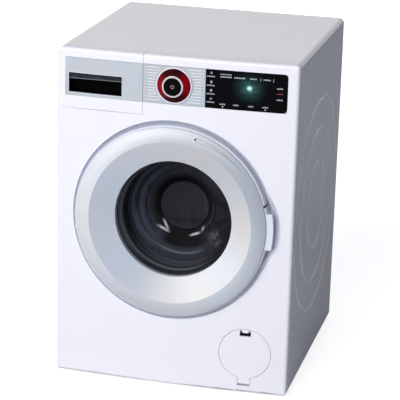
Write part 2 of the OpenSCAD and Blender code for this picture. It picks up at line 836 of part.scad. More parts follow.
module drawer_cup()
    color("black")
    difference() {
        intersection() {
            block(pull_x0 - cup_t, pull_x0 + pull_w + cup_t, -bow_rise - 2, cup_a + cup_t,
                  pull_z0 - cup_t, pull_z0 + pull_h + cup_t);
            translate([0, bow_y, 0]) cylinder(r = bow_r - seat_depth, h = top_z, $fn = fn_bow);
        }
        block(pull_x0, pull_x0 + pull_w, -bow_rise - 3, cup_a, pull_z0, pull_z0 + pull_h);
    }

grip_z0 = pull_z0 + 0.66 * pull_h;
grip_top_a = bow_a(pull_x0) + 0.3;
grip_low_a = grip_top_a + 1.6;
grip_t = 1.3;

// Hood over the pull opening with a bright strip along its lower edge
module drawer_grip()
    color("black")
    translate([pull_x0, front_y, 0])
    rotate([90, 0, 90])
    linear_extrude(height = pull_w)
        polygon([[grip_top_a, pull_z0 + pull_h], [grip_top_a + grip_t, pull_z0 + pull_h],
                 [grip_low_a + grip_t, grip_z0], [grip_low_a, grip_z0],
                 [grip_low_a - 0.5, grip_z0 + 0.2], [grip_low_a - 0.5, grip_z0 + 1.2]]);

module detergent_tray()
    color("lightgray")
    difference() {
        union() {
            block(-inner_x + slack, drawer_x1, drawer_back_a, drawer_back_a + tray_face_t, drawer_z0,
                  top_z - wall - slack);
            block(tray_x0, tray_x1, drawer_back_a, tray_a1, tray_z0, tray_z0 + tray_h);
        }
        for (i = [0 : 2])
            block(tray_cell_x(i), tray_cell_x(i + 1) - housing_t, drawer_back_a + tray_face_t, tray_a1 - housing_t,
                  tray_z0 + housing_t, top_z);
        rod_up(fill_x, fill_a, tray_z0 - 1, tray_z0 + housing_t + 1, spigot_bore_r);
    }

// Left faces of the tray's three compartments and the end of the last one
tray_splits = [0, 0.26, 0.68, 1];
function tray_cell_x(i) = tray_x0 + housing_t + tray_splits[i] * (tray_x1 - tray_x0 - housing_t);

// Upright rod
module rod_up(x, a, z0, z1, r, fn = fn_small)
    translate([x, front_y + a, z0])
        cylinder(r = r, h = z1 - z0, $fn = fn);

module drawer_housing()
    color("lightgray")
    difference() {
        union() {
            block(housing_x0, housing_x1, housing_a0, housing_a1, housing_z0, top_z - wall - 8);
            block(housing_x0, housing_x0 + housing_t, housing_a0, housing_a1, housing_z0, top_z - wall);
            rod_up(fill_x, fill_a, housing_z0 - 9, housing_z0 + eps, spigot_r);
        }
        block(housing_x0 + housing_t, housing_x1 - housing_t, housing_a0 - 1, housing_a1 - housing_t,
              housing_z0 + housing_t, top_z);
        rod_up(fill_x, fill_a, housing_z0 - 10, housing_z0 + 10, spigot_bore_r);
    }

fill_low = door_z + sqrt(pow(tub_r, 2) - pow(abs(fill_x - door_x) - hose_out_r, 2)) + slack;
inlet_top = fill_low + 7;

module fill_tube()
    color("silver")
    difference() {
        rod_up(fill_x, fill_a, fill_low, housing_z0, hose_out_r);
        rod_up(fill_x, fill_a, fill_low - 1, housing_z0 + 1, hose_r);
    }

// Tub, drum and seal ----------------------------------------------------------------------

drain_spigot_z = door_z - tub_r - 14;

module outer_tub()
    color("lightgray")
    difference() {
        union() {
            lathe(door_x, door_z, [
                [0, tub_a0], [tub_r, tub_a0], [tub_r, tub_back_a], [boss_r, tub_back_a],
                [boss_r, tub_back_a + boss_len], [0, tub_back_a + boss_len]]);
            rod_up(fill_x, fill_a, door_z, inlet_top, spigot_r);
            rod_up(door_x, drain_a, drain_spigot_z, door_z, spigot_r);
        }
        rod(door_x, door_z, tub_a0 + tub_t, tub_back_a - tub_t, tub_in_r, fn_big);
        rod(door_x, door_z, tub_a0 - 1, tub_a0 + tub_t + 1, tub_mouth_r, fn_big);
        rod(door_x, door_z, tub_a0, far, bush_r + run_fit, fn_mid);
        rod_up(fill_x, fill_a, door_z, inlet_top + 1, spigot_bore_r);
        rod_up(door_x, drain_a, drain_spigot_z - 1, door_z, spigot_bore_r);
    }

// Half width of the arch under a saddle, which spans the battery box
saddle_in = bay_x1 + box_t - door_x + slack;

// Arched plate that carries the tub on the base
module saddle(a0)
    color("lightgray")
    difference() {
        block(door_x - saddle_in - saddle_leg, door_x + saddle_in + saddle_leg, a0, a0 + saddle_t, base_top,
              door_z - tub_r / 2);
        rod(door_x, door_z, a0 - 1, a0 + saddle_t + 1, tub_r, fn_big);
        block(door_x - saddle_in, door_x + saddle_in, a0 - 1, a0 + saddle_t + 1, base_top - 1,
              spout_z + hose_out_r + 4.5);
    }

module tub_saddle_front() saddle(tub_a0 + 6);
module tub_saddle_rear() saddle(drain_a + spigot_r + tube_t + 3);

// Depths of the seal's folds from the panel to the tub
seal_a = recess_a + wall;
seal_run = tub_a0 - seal_a;
seal_t = 1.6;

module door_seal()
    color("dimgray")
    lathe(door_x, door_z, [
        [porthole_r + 2.4, seal_a], [porthole_r + 0.2, seal_a], [porthole_r + 0.2, seal_a + seal_t],
        [porthole_r - 4.3, seal_a + 0.18 * seal_run], [porthole_r - 4.3, seal_a + 0.27 * seal_run],
        [porthole_r + 0.4, seal_a + 0.44 * seal_run], [porthole_r + 0.4, seal_a + 0.48 * seal_run],
        [porthole_r - 3.5, seal_a + 0.61 * seal_run], [porthole_r - 3.5, seal_a + 0.71 * seal_run],
        [porthole_r + 2, tub_a0 - seal_t - 1], [porthole_r + 2, tub_a0], [porthole_r + 8, tub_a0],
        [porthole_r + 8, tub_a0 - seal_t], [porthole_r + 3.8, tub_a0 - seal_t],
        [porthole_r + 3.8, tub_a0 - 2 * seal_t], [porthole_r - 1.2, seal_a + 0.68 * seal_run],
        [porthole_r - 1.2, seal_a + 0.64 * seal_run], [porthole_r + 2.4, seal_a + 0.53 * seal_run]]);

module shaft_bush()
    color("goldenrod")
    difference() {
        union() {
            rod(door_x, door_z, tub_back_a - tub_t, tub_back_a + boss_len, bush_r, fn_mid);
            rod(door_x, door_z, tub_back_a + boss_len, tub_back_a + boss_len + bush_flange_t, bush_r + 2, fn_mid);
        }
        rod(door_x, door_z, 0, far, shaft_r + run_fit, fn_mid);
    }

module drum_shell()
    color("silver")
    difference() {
        lathe(door_x, door_z, [
            [drum_mouth_r, drum_a], [drum_r - 3, drum_a], [drum_r, drum_a + 3], [drum_r, drum_back_a - 3],
            [drum_r - 3, drum_back_a], [hub_r, drum_back_a], [hub_r, hub_back_a], [0, hub_back_a],
            [0, hub_back_a - hub_len], [hub_r - 2, hub_back_a - hub_len], [hub_r, hub_back_a - hub_len + 2],
            [hub_r + 14, drum_back_a - drum_t], [drum_r - 3, drum_back_a - drum_t],
            [drum_r - drum_t, drum_back_a - 3], [drum_r - drum_t, drum_a + 3], [drum_r - 3, drum_a + drum_t],
            [drum_mouth_r, drum_a + drum_t]]);
        rod(door_x, door_z, hub_back_a - hub_len + 2, far, shaft_r + run_fit, fn_mid);
        for (row = [1 : drum_rows], i = [0 : drum_holes - 1])
            translate([door_x, front_y + drum_a + row * drum_len / (drum_rows + 1), door_z])
            rotate([0, (i + (row % 2) / 2) * 360 / drum_holes, 0])
            translate([0, 0, drum_r - 4])
                cylinder(r = 1.7, h = 8, $fn = 24);
    }

drum_rows = 5;
drum_holes = 21;

module drum_paddles()
    color("white")
    intersection() {
        for (i = [0 : paddle_count - 1])
            translate([door_x, front_y + drum_back_a - 8, door_z])
            rotate([90, 0, 0])
            rotate([0, 0, 90 + i * 360 / paddle_count])
            linear_extrude(height = drum_len - 18)
                polygon([[drum_r, -9], [drum_r, 9], [drum_r - drum_t - paddle_h, 2.5],
                         [drum_r - drum_t - paddle_h - 1, 0], [drum_r - drum_t - paddle_h, -2.5]]);
        rod(door_x, door_z, 0, far, drum_r - drum_t, fn_big);
    }

module drum_shaft()
    color("silver")
    rod(door_x, door_z, hub_back_a - hub_len + 2, plate_a + gear_plate_t + 3, shaft_r, fn_mid);

// Drive -----------------------------------------------------------------------------------

module drum_gear()
    color("ivory")
    difference() {
        union() {
            gear(door_x, door_z, drum_teeth, train_angle, gear_a, gear_a + gear_t);
            rod(door_x, door_z, gear_a - 1, gear_a + gear_t + 1, shaft_r + 4, fn_mid);
        }
        rod(door_x, door_z, 0, far, shaft_r + run_fit, fn_mid);
        for (i = [0 : 4])
            rod(door_x + 14 * gear_m * cos(i * 72), door_z + 14 * gear_m * sin(i * 72), gear_a - 1,
                gear_a + gear_t + 1, 4.5 * gear_m, fn_small);
    }

// The idler's gap faces the drum gear's tooth, and its far side fixes the pinion's angle
idler_angle = train_angle + 180 + 180 / idler_teeth;
far_side = (180 + 180 / idler_teeth) % (360 / idler_teeth);
pinion_angle = train_angle + 180 + 180 / pinion_teeth + far_side * idler_teeth / pinion_teeth;

module idler_gear()
    color("ivory")
    difference() {
        union() {
            gear(idler_x, idler_z, idler_teeth, idler_angle, gear_a, gear_a + gear_t);
            rod(idler_x, idler_z, gear_a - 1, gear_a + gear_t + 1, axle_r + 2, fn_small);
        }
        rod(idler_x, idler_z, 0, far, axle_r + run_fit, fn_mid);
    }

module idler_axle()
    color("silver")
    union() {
        rod(idler_x, idler_z, gear_a - 1.6, plate_a + gear_plate_t, axle_r, fn_small);
        rod(idler_x, idler_z, gear_a - 2.6, gear_a - 1.6, axle_r + 1.2, fn_small);
        rod(idler_x, idler_z, plate_a + gear_plate_t, plate_a + gear_plate_t + 1.2, axle_r + 1.2, fn_small);
    }

module motor_pinion()
    color("goldenrod")
    union() {
        gear(pinion_x, pinion_z, pinion_teeth, pinion_angle, gear_a, gear_a + gear_t);
        rod(pinion_x, pinion_z, gear_a - 1, motor_a + 8, motor_shaft_r, fn_small);
    }

motor_a = plate_a + gear_plate_t;

module motor()
    color("silver")
    difference() {
        union() {
            intersection() {
                rod(pinion_x, pinion_z, motor_a, motor_a + motor_len, motor_r, fn_mid);
                block(pinion_x - motor_r, pinion_x + motor_r, motor_a, motor_a + motor_len,
                      pinion_z - motor_r * 0.8, pinion_z + motor_r * 0.8);
            }
            rod(pinion_x, pinion_z, motor_a - 1.5, motor_a, 3, fn_small);
            rod(pinion_x, pinion_z, motor_a + motor_len, motor_a + motor_len + 1.5, 3.5, fn_small);
        }
        rod(pinion_x, pinion_z, motor_a - 2, motor_a + 10, motor_shaft_r + run_fit, fn_small);
    }

plate_half = 34;
plate_x0 = door_x - plate_half;
plate_x1 = pinion_x + motor_r + 0.9;
plate_z0 = pinion_z - motor_r - 2 * standoff_r;
plate_z1 = door_z + plate_half;

module gear_plate()
    color("darkslategray")
    difference() {
        union() {
            block(plate_x0, plate_x1, plate_a, plate_a + gear_plate_t, plate_z0, plate_z1);
            for (x = [plate_x0 + 4, plate_x1 - 4], z = [plate_z0 + 4, plate_z1 - 4])
                rod(x, z, tub_back_a, plate_a + eps, standoff_r, fn_small);
            rod(door_x, door_z, plate_a, plate_a + gear_plate_t + 2, shaft_r + 3, fn_mid);
        }
        rod(door_x, door_z, plate_a - 1, far, shaft_r + run_fit, fn_mid);
        rod(idler_x, idler_z, plate_a - 1, far, axle_r, fn_small);
        rod(pinion_x, pinion_z, plate_a - 1, far, 3 + seat_gap, fn_small);
    }

// Water path ------------------------------------------------------------------------------

module drain_tube()
    color("dimgray")
    difference() {
        union() {
            rod_up(door_x, drain_a, spout_z, drain_spigot_z + 11, hose_out_r);
            translate([door_x, front_y + drain_a, spout_z]) sphere(r = hose_out_r, $fn = fn_small);
            rod(door_x, spout_z, drain_a, body_d - cover_t - 1, hose_out_r, fn_small);
        }
        rod_up(door_x, drain_a, spout_z, drain_spigot_z + 12, hose_r);
        translate([door_x, front_y + drain_a, spout_z]) sphere(r = hose_r, $fn = fn_small);
        rod(door_x, spout_z, drain_a, body_d, hose_r, fn_small);
    }

spout_flange_t = 1.6;

module drain_spout()
    color("dimgray")
    difference() {
        union() {
            rod(door_x, spout_z, body_d - cover_t - 10, body_d + spout_len, spigot_r, fn_mid);
            rod(door_x, spout_z, body_d, body_d + spout_flange_t, spigot_r + 4, fn_mid);
        }
        rod(door_x, spout_z, body_d - cover_t - 11, body_d + spout_len + 1, spigot_bore_r, fn_mid);
    }

// Sound and power -------------------------------------------------------------------------

module speaker()
    color("black")
    lathe_up(speaker_x, speaker_a, [
        [0, base_top], [speaker_r, base_top], [speaker_r, base_top + 2], [speaker_r - 3, base_top + 4],
        [8, base_top + 5], [8, base_top + 8], [0, base_top + 8]]);

module battery_box()
    color("darkslategray")
    difference() {
        union() {
            block(-bay_half_x - box_t, bay_x1 + box_t, bay_a0 - box_t, bay_a0 + bay_len + box_t, base_top,
                  bay_top + box_t);
        }
        difference() {
            block(-bay_half_x, bay_x1, bay_a0, bay_a0 + bay_len, base_top - 1, bay_top);
            block(bay_half_x, bay_half_x + box_t / 2, bay_a0, bay_a0 + bay_len, base_top + 2, bay_top + 1);
            rod_up(bay_screw_x, bay_a0 + bay_len / 2, base_top, bay_top + 1, 2.8);
        }
        rod_up(bay_screw_x, bay_a0 + bay_len / 2, base_top - 1, bay_top - 1, screw_r + run_fit);
    }

module battery_cells()
    color("darkorange")
    for (i = [0 : cell_count - 1])
        translate([0, front_y + bay_a0 + 0.4 + (i + 0.5) * cell_pitch, cell_z])
        rotate([0, i % 2 == 0 ? 90 : -90, 0]) {
            translate([0, 0, -cell_len / 2]) cylinder(r = cell_r, h = cell_len - 1, $fn = fn_small);
            translate([0, 0, cell_len / 2 - 1]) cylinder(r = 2.7, h = 1, $fn = fn_small);
        }

module battery_contacts()
    color("silver")
    for (i = [0 : cell_count - 1], s = [-1, 1])
        translate([0, front_y + bay_a0 + 0.4 + (i + 0.5) * cell_pitch, cell_z])
        rotate([0, s * 90, 0]) {
            translate([0, 0, cell_len / 2]) cylinder(r = 2.2, h = bay_half_x - cell_len / 2, $fn = fn_small);
            translate([-4, 2 - cell_pitch / 2, bay_half_x - 0.5]) cube([8, cell_pitch - 4, 0.5]);
        }

module battery_cover()
    color("gainsboro")
    difference() {
        block(-bay_half_x + seam, bay_x1 - seam, bay_a0 + seam, bay_a0 + bay_len - seam, foot_h + 0.2, base_top);
        rod_up(bay_screw_x, bay_a0 + bay_len / 2, foot_h - 1, base_top + 1, screw_r + 0.3);
        rod_up(bay_screw_x, bay_a0 + bay_len / 2, foot_h - 1, foot_h + 1.2, 2.3);
        for (i = [0 : 4])
            block(-bay_half_x + 4 + i * 2.4, -bay_half_x + 5.2 + i * 2.4, bay_a0 + bay_len / 2 - 10,
                  bay_a0 + bay_len / 2 + 10, foot_h, foot_h + 0.8);
    }

module battery_screw()
    color("silver")
    union() {
        rod_up(bay_screw_x, bay_a0 + bay_len / 2, foot_h + 0.4, base_top + 8, screw_r);
        rod_up(bay_screw_x, bay_a0 + bay_len / 2, foot_h + 0.3, foot_h + 1.2, 2.1);
    }

// Door ------------------------------------------------------------------------------------

module door_frame()
    color("whitesmoke")
    difference() {
        union() {
            lathe(door_x, door_z, [
                [hub_ring_r, frame_floor_a], [frame_r - wall, frame_floor_a],
                [frame_r - wall, frame_front_a + wall - 1], [frame_r - 2 * wall, frame_front_a + wall - 1],
                [frame_r - 2 * wall, ring_back_a], [frame_r - wall - 0.2, ring_back_a],
                [frame_r - wall - 0.2, frame_front_a], [frame_r - 0.5, frame_front_a],
                [frame_r, frame_front_a + 0.5], [frame_r, frame_back_a],
                [hub_ring_r + hub_ring_t, frame_back_a], [hub_ring_r + hub_ring_t, retainer_a],
                [hub_ring_r, retainer_a]]);
            // handle tab
            intersection() {
                rod(door_x, door_z, frame_front_a, frame_front_a + 3, tab_r, fn_big);
                block(door_x + frame_r - 2.4, door_x + tab_r + 1, frame_front_a - 1, frame_front_a + 4,
                      door_z - tab_h / 2, door_z + tab_h / 2);
            }
            // hinge knuckle
            rod_up(hinge_x, hinge_a, door_z - knuckle_h / 2, door_z + knuckle_h / 2, knuckle_r);
            block(hinge_x, hinge_x + 2.6, hinge_a - knuckle_r, hinge_a + knuckle_r,
                  door_z - knuckle_h / 2, door_z + knuckle_h / 2);
        }
        rod_up(hinge_x, hinge_a, door_z - knuckle_h, door_z + knuckle_h, hinge_pin_r + run_fit);
        for (s = [-1, 1]) {
            rod_up(hinge_x, hinge_a, door_z + s * lug_mid - lug_h / 2 - lug_gap,
                   door_z + s * lug_mid + lug_h / 2 + lug_gap, knuckle_r + seam);
            block(hinge_x - knuckle_r - seam, hinge_x + knuckle_r + seam, hinge_a, recess_a,
                  door_z + s * lug_mid - lug_h / 2 - lug_gap, door_z + s * lug_mid + lug_h / 2 + lug_gap);
        }
        for (i = [0 : screw_count - 1]) {
            rod(screw_x(i), screw_z(i), frame_floor_a - 1, frame_back_a + 1, screw_r + 0.2, fn_small);
            rod(screw_x(i), screw_z(i), frame_back_a - 1, frame_back_a + 1, 2.1, fn_small);
        }
        block(door_x + latch_dx - run_fit, door_x + latch_dx + latch_t + run_fit, frame_floor_a - 1, frame_back_a + 1,
              door_z - latch_w / 2 - run_fit, door_z + latch_w / 2 + run_fit);
        // small notch above the handle tab
        rod(door_x + frame_dimple_in * cos(frame_dimple_at), door_z + frame_dimple_in * sin(frame_dimple_at),
            frame_front_a - 1, frame_front_a + 1.8, frame_dimple_r, fn_small);
    }

frame_dimple_r = 0.95;
frame_dimple_in = frame_r - 0.5;
frame_dimple_at = 15.2;

retainer_a = glass_seat_a + glass_t;

module door_ring()
    color("silver")
    difference() {
        union() {
            lathe(door_x, door_z, concat(
                [[ring_r, ring_back_a]],
                arc(ring_r - ring_edge_r, ring_face_a + lip_fall + ring_edge_r, ring_edge_r, 0, -70, 3),
                lip_line(0),
                [[glass_r, glass_a], [glass_r, glass_seat_a], [glass_r + collar_t, glass_seat_a],
                 [glass_r + collar_t, glass_a + ring_back_off - (collar_t - ring_back_run) * cone_rise / cone_run],
                 [lip_r + ring_back_run, ring_face_a + ring_back_off], [lip_r + 2.4, ring_back_a]]));
            for (i = [0 : screw_count - 1])
                rod(screw_x(i), screw_z(i), ring_back_a - eps, frame_floor_a, 2.1, fn_small);
        }
        for (i = [0 : screw_count - 1])
            rod(screw_x(i), screw_z(i), ring_back_a + 0.6, frame_floor_a + 1, screw_r + run_fit, fn_small);
        crescent();
    }

// Front line of the ring's lip from its outer edge to its crest, sunk by a depth
function lip_line(depth) =
    arc(lip_r, ring_face_a + lip_arc_r, lip_arc_r - depth, lip_turn - 90, -90, 6);

// Ends and centre of the crescent's inner edge, measured from the door's centre
crescent_bend = 76;
crescent_broad = crescent_in * [cos(crescent_to), sin(crescent_to)];
crescent_tip = crescent_out * [cos(crescent_from), sin(crescent_from)];
crescent_half = norm(crescent_broad - crescent_tip) / 2;
crescent_way = (crescent_broad - crescent_tip) / (2 * crescent_half);
crescent_centre = (crescent_broad + crescent_tip) / 2
    - sqrt(crescent_bend * crescent_bend - crescent_half * crescent_half) * [crescent_way[1], -crescent_way[0]];

// Upright block with the crescent's outline, grown by a margin
module crescent_block(grow)
    intersection() {
        difference() {
            rod(door_x, door_z, ring_face_a - 2, ring_face_a + lip_fall + 2, crescent_out + grow, fn_big);
            rod(door_x + crescent_centre[0], door_z + crescent_centre[1], ring_face_a - 3, ring_face_a + lip_fall + 3,
                crescent_bend - grow, fn_big);
        }
        translate([door_x, front_y + ring_face_a - 2, door_z])
        rotate([0, -crescent_to, 0])
        translate([0, 0, -far / 2])
            cube([far / 2, far / 4, far / 2 + grow]);
    }

// Groove round the crescent, with a small round dimple at its broad end
module crescent() {
    intersection() {
        lathe(door_x, door_z, concat([[ring_r - ring_edge_r, ring_face_a - 1]], lip_line(crescent_depth),
            [[lip_r, ring_face_a - 1]]));
        difference() {
            crescent_block(crescent_line / 2);
            crescent_block(-crescent_line / 2);
        }
    }
    rod(door_x + dimple_in * cos(dimple_at), door_z + dimple_in * sin(dimple_at), ring_face_a - 1,
        ring_face_a + lip_fall + 1, dimple_r, fn_small);
}

dimple_r = 0.9;
dimple_in = (crescent_in + crescent_out) / 2;
dimple_at = crescent_to + 0.6;

// Offsets from the cone's front line to its back line
ring_back_run = ring_t * cone_rise / cone_len;
ring_back_off = ring_t * cone_run / cone_len;

// Inner line of the window bowl from its rim to the middle, as [radius, depth]
bowl_line = concat(
    [[glass_r - 1.4, glass_seat_a], [glass_r - 2.2, glass_seat_a + 5], [glass_r - 3.8, glass_seat_a + 13]],
    arc(glass_r - 17, glass_seat_a + 17, 13, -10, 50, 5),
    [[bowl_disc_r + 4, bowl_a - 1.2], [bowl_disc_r + 1.2, bowl_a], [bowl_disc_r, bowl_a - 1.4],
     [0, bowl_a - 1.4]]);

module door_window()
    color([0.1, 0.11, 0.13, 0.5])
    lathe(door_x, door_z, concat(
        bowl_line,
        [for (i = [len(bowl_line) - 1 : -1 : 1])
            [i == len(bowl_line) - 1 ? 0 : bowl_line[i][0] + 0.8 * glass_t, bowl_line[i][1] + 0.8 * glass_t]],
        [[glass_r - 0.2, retainer_a], [flange_r, retainer_a], [flange_r, glass_seat_a]]));

module window_retainer()
    color("dimgray")
    lathe(door_x, door_z, [
        [glass_r + 0.6, retainer_a], [hub_ring_r + hub_ring_t, retainer_a],
        [hub_ring_r + hub_ring_t, retainer_a + retainer_t], [glass_r + 0.6, retainer_a + retainer_t]]);

module door_screws()
    color("silver")
    for (i = [0 : screw_count - 1])
        rear_screw(screw_x(i), screw_z(i), frame_back_a - 0.1, 7, screw_r, 1.9, 0.9);

module door_latch()
    color("dimgray")
    union() {
        block(door_x + latch_dx - 2, door_x + latch_dx + latch_t + 2, frame_floor_a - 1.2, frame_floor_a,
              door_z - latch_w / 2 - 2, door_z + latch_w / 2 + 2);
        block(door_x + latch_dx, door_x + latch_dx + latch_t, frame_floor_a - eps, latch_tip_a,
              door_z - latch_w / 2, door_z + latch_w / 2);
    }

catch_a0 = recess_a + wall;

// Slot that the latch's tongue swings through
module latch_slot(a0, a1, grow = 0)
    block(door_x + latch_dx - slack - grow, latch_slot_x1 + grow, a0, a1,
          door_z - latch_w / 2 - slack - grow, door_z + latch_w / 2 + slack + grow);

module latch_catch()
    color("gainsboro")
    difference() {
        latch_slot(catch_a0, latch_tip_a + slack + latch_wall, latch_wall);
        latch_slot(catch_a0 - 1, latch_tip_a + slack);
    }

module hinge_bracket()
    color("gainsboro")
    difference() {
        union() {
            block(hinge_x - 2.6, hinge_x + 6, catch_a0, catch_a0 + 2, door_z - lug_mid - lug_h / 2 - 1,
                  door_z + lug_mid + lug_h / 2 + 1);
            for (s = [-1, 1]) {
                rod_up(hinge_x, hinge_a, door_z + s * lug_mid - lug_h / 2, door_z + s * lug_mid + lug_h / 2,
                       knuckle_r);
                block(hinge_x - 0.2, hinge_x + knuckle_r, hinge_a, catch_a0 + eps,
                      door_z + s * lug_mid - lug_h / 2, door_z + s * lug_mid + lug_h / 2);
            }
        }
        rod_up(hinge_x, hinge_a, door_z - far / 8, door_z + far / 8, hinge_pin_r + run_fit);
    }

module hinge_pin()
    color("silver")
    rod_up(hinge_x, hinge_a, door_z - lug_mid - lug_h / 2, door_z + lug_mid + lug_h / 2, hinge_pin_r);

// Service flap ----------------------------------------------------------------------------

module flap_cover()
    color("whitesmoke")
    difference() {
        union() {
            intersection() {
                bowed(0, flap_t, flap_x - flap_r - 1, flap_x + flap_r + 1, foot_h, flap_z + flap_r + 1);
                union() {
                    rod(flap_x, flap_z, -bow_rise - 2, rim_depth, flap_r, fn_mid);
                    block(flap_x - flap_tab_w / 2, flap_x + flap_tab_w / 2, -bow_rise - 2, rim_depth,
                          flap_axis_z - flap_knuckle_r, flap_z - flap_r + 4);
                }
            }
            translate([flap_x - flap_tab_w / 2, front_y + flap_axis_a, flap_axis_z])
            rotate([0, 90, 0])
                cylinder(r = flap_knuckle_r, h = flap_tab_w, $fn = fn_small);
        }
        difference() {
            block(flap_x - notch_w / 2, flap_x + notch_w / 2, -bow_rise - 2, rim_depth,
                  flap_z + flap_r - notch_bridge - notch_h, flap_z + flap_r - notch_bridge);
            block(flap_x - tongue_w / 2, flap_x + tongue_w / 2, -far / 4, rim_depth + 1,
                  flap_z + flap_r - notch_bridge - tongue_h, flap_z + flap_r);
        }
        translate([flap_x - flap_tab_w, front_y + flap_axis_a, flap_axis_z])
        rotate([0, 90, 0])
            cylinder(r = flap_pin_r + run_fit, h = 2 * flap_tab_w, $fn = fn_small);
    }

module flap_pin()
    color("silver")
    translate([flap_x - flap_tab_w / 2 - 2.5, front_y + flap_axis_a, flap_axis_z])
    rotate([0, 90, 0])
        cylinder(r = flap_pin_r, h = flap_tab_w + 5, $fn = fn_small);

// Drawing ---------------------------------------------------------------------------------

cabinet_shell();
front_panel();
base_plate();
rear_cover();
rear_screws();
foot_front_left();
foot_front_right();
foot_rear_left();
foot_rear_right();
knob_plate();
knob_collar();
display_window();
display_screen();
display_lamp();
control_board();
knob_switch();
speaker();
drawer_housing();
fill_tube();
outer_tub();
tub_saddle_front();
tub_saddle_rear();
door_seal();
shaft_bush();
gear_plate();
motor();
idler_axle();
drain_tube();
drain_spout();
battery_box();
battery_cells();
battery_contacts();
battery_cover();
battery_screw();
hinge_bracket();
hinge_pin();
latch_catch();
flap_pin();
flap_cup();
door_frame();
door_ring();
door_window();
window_retainer();
door_screws();
door_latch();
drum_shell();
drum_paddles();
drum_shaft();
drum_gear();
idler_gear();
motor_pinion();
drawer_front();
drawer_trim();
drawer_cup();
drawer_grip();
detergent_tray();
knob_ring();
knob_bezel();
knob_cap();
flap_cover();
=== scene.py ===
"""Looks of a toy washing machine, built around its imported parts.

Lengths are in metres and angles in radians. X runs to the right as seen from the front, Y to the
back and Z up. An angle round an axis along Y starts at the right and grows towards the top.
"""

import json
import logging
import math
from dataclasses import dataclass, field
from enum import Enum
from typing import Callable, Iterable, Iterator, Sequence, Union

import bmesh
import bpy
from mathutils import Matrix, Vector


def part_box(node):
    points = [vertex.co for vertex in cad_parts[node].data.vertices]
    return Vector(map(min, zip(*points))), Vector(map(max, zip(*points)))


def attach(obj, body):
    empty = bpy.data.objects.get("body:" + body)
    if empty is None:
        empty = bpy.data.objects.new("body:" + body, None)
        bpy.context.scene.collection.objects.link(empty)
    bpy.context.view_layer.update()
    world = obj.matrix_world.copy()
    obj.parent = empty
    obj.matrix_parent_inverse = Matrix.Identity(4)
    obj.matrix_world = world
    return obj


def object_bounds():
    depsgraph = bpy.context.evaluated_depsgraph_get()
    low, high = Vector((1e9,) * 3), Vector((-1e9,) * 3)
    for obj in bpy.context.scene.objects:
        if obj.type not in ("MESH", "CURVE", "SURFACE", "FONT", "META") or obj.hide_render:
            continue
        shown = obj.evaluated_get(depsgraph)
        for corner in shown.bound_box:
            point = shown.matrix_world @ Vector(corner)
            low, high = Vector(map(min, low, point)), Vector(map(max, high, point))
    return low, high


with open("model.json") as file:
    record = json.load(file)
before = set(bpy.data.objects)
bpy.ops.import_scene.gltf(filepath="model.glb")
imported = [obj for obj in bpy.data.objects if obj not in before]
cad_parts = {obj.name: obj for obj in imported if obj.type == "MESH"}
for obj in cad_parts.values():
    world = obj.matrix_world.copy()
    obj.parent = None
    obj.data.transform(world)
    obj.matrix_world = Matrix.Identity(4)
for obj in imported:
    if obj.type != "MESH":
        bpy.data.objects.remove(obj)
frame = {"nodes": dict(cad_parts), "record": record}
cad_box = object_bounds()

log = logging.getLogger("washer")

Colour = tuple[float, float, float]
Point = tuple[float, float, float]
Spot = tuple[float, float]
Value = Union["Sock", float, int]

BLACK: Colour = (0.0, 0.0, 0.0)
WHITE: Colour = (1.0, 1.0, 1.0)


# Places in the frame -------------------------------------------------------------------

# Digits kept of a measure, which makes it good to a micrometre
DIGITS = 6


@dataclass(frozen=True)
class Outline:
    """Edges of a node as seen from the front, and its foremost place."""

    left: float
    right: float
    low: float
    high: float
    front: float

    @property
    def middle(self) -> Spot:
        """Middle of the node, as x and z."""
        x, z = (self.left + self.right) / 2, (self.low + self.high) / 2
        return round(x, DIGITS), round(z, DIGITS)


def outline(node: str) -> Outline:
    """Measures a node of the frame."""
    (x0, y0, z0), (x1, _, z1) = ([round(v, DIGITS) for v in corner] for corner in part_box(node))
    return Outline(x0, x1, z0, z1, y0)


DOOR_AXIS = outline("door_ring").middle
KNOB_AXIS = outline("knob_cap").middle
WINDOW = outline("display_window")
PLATE = outline("knob_plate")
TRIM = outline("drawer_trim")
HALF_WIDTH = round(cad_box[1][0], DIGITS)
HEIGHT = round(cad_box[1][2], DIGITS)


@dataclass(frozen=True)
class Bow:
    """The bowed front of the cabinet: an arc across its whole width."""

    half_width: float = HALF_WIDTH
    rise: float = 0.003
    crest: float = outline("front_panel").front

    @property
    def radius(self) -> float:
        """Radius of the bow."""
        return (self.half_width**2 + self.rise**2) / (2 * self.rise)

    def y(self, x: float, proud: float = 0.0) -> float:
        """Place of the front along Y.

        Args:
            x: Place across the front.
            proud: Height ahead of the front.

        Returns:
            Y of the point.
        """
        return self.crest + self.radius - math.sqrt((self.radius + proud) ** 2 - x * x)


BOW = Bow()


# Shader maths --------------------------------------------------------------------------

# Sockets of a Mix node that works on colours
MIX_FACTOR, MIX_FIRST, MIX_SECOND, MIX_RESULT = 0, 6, 7, 2


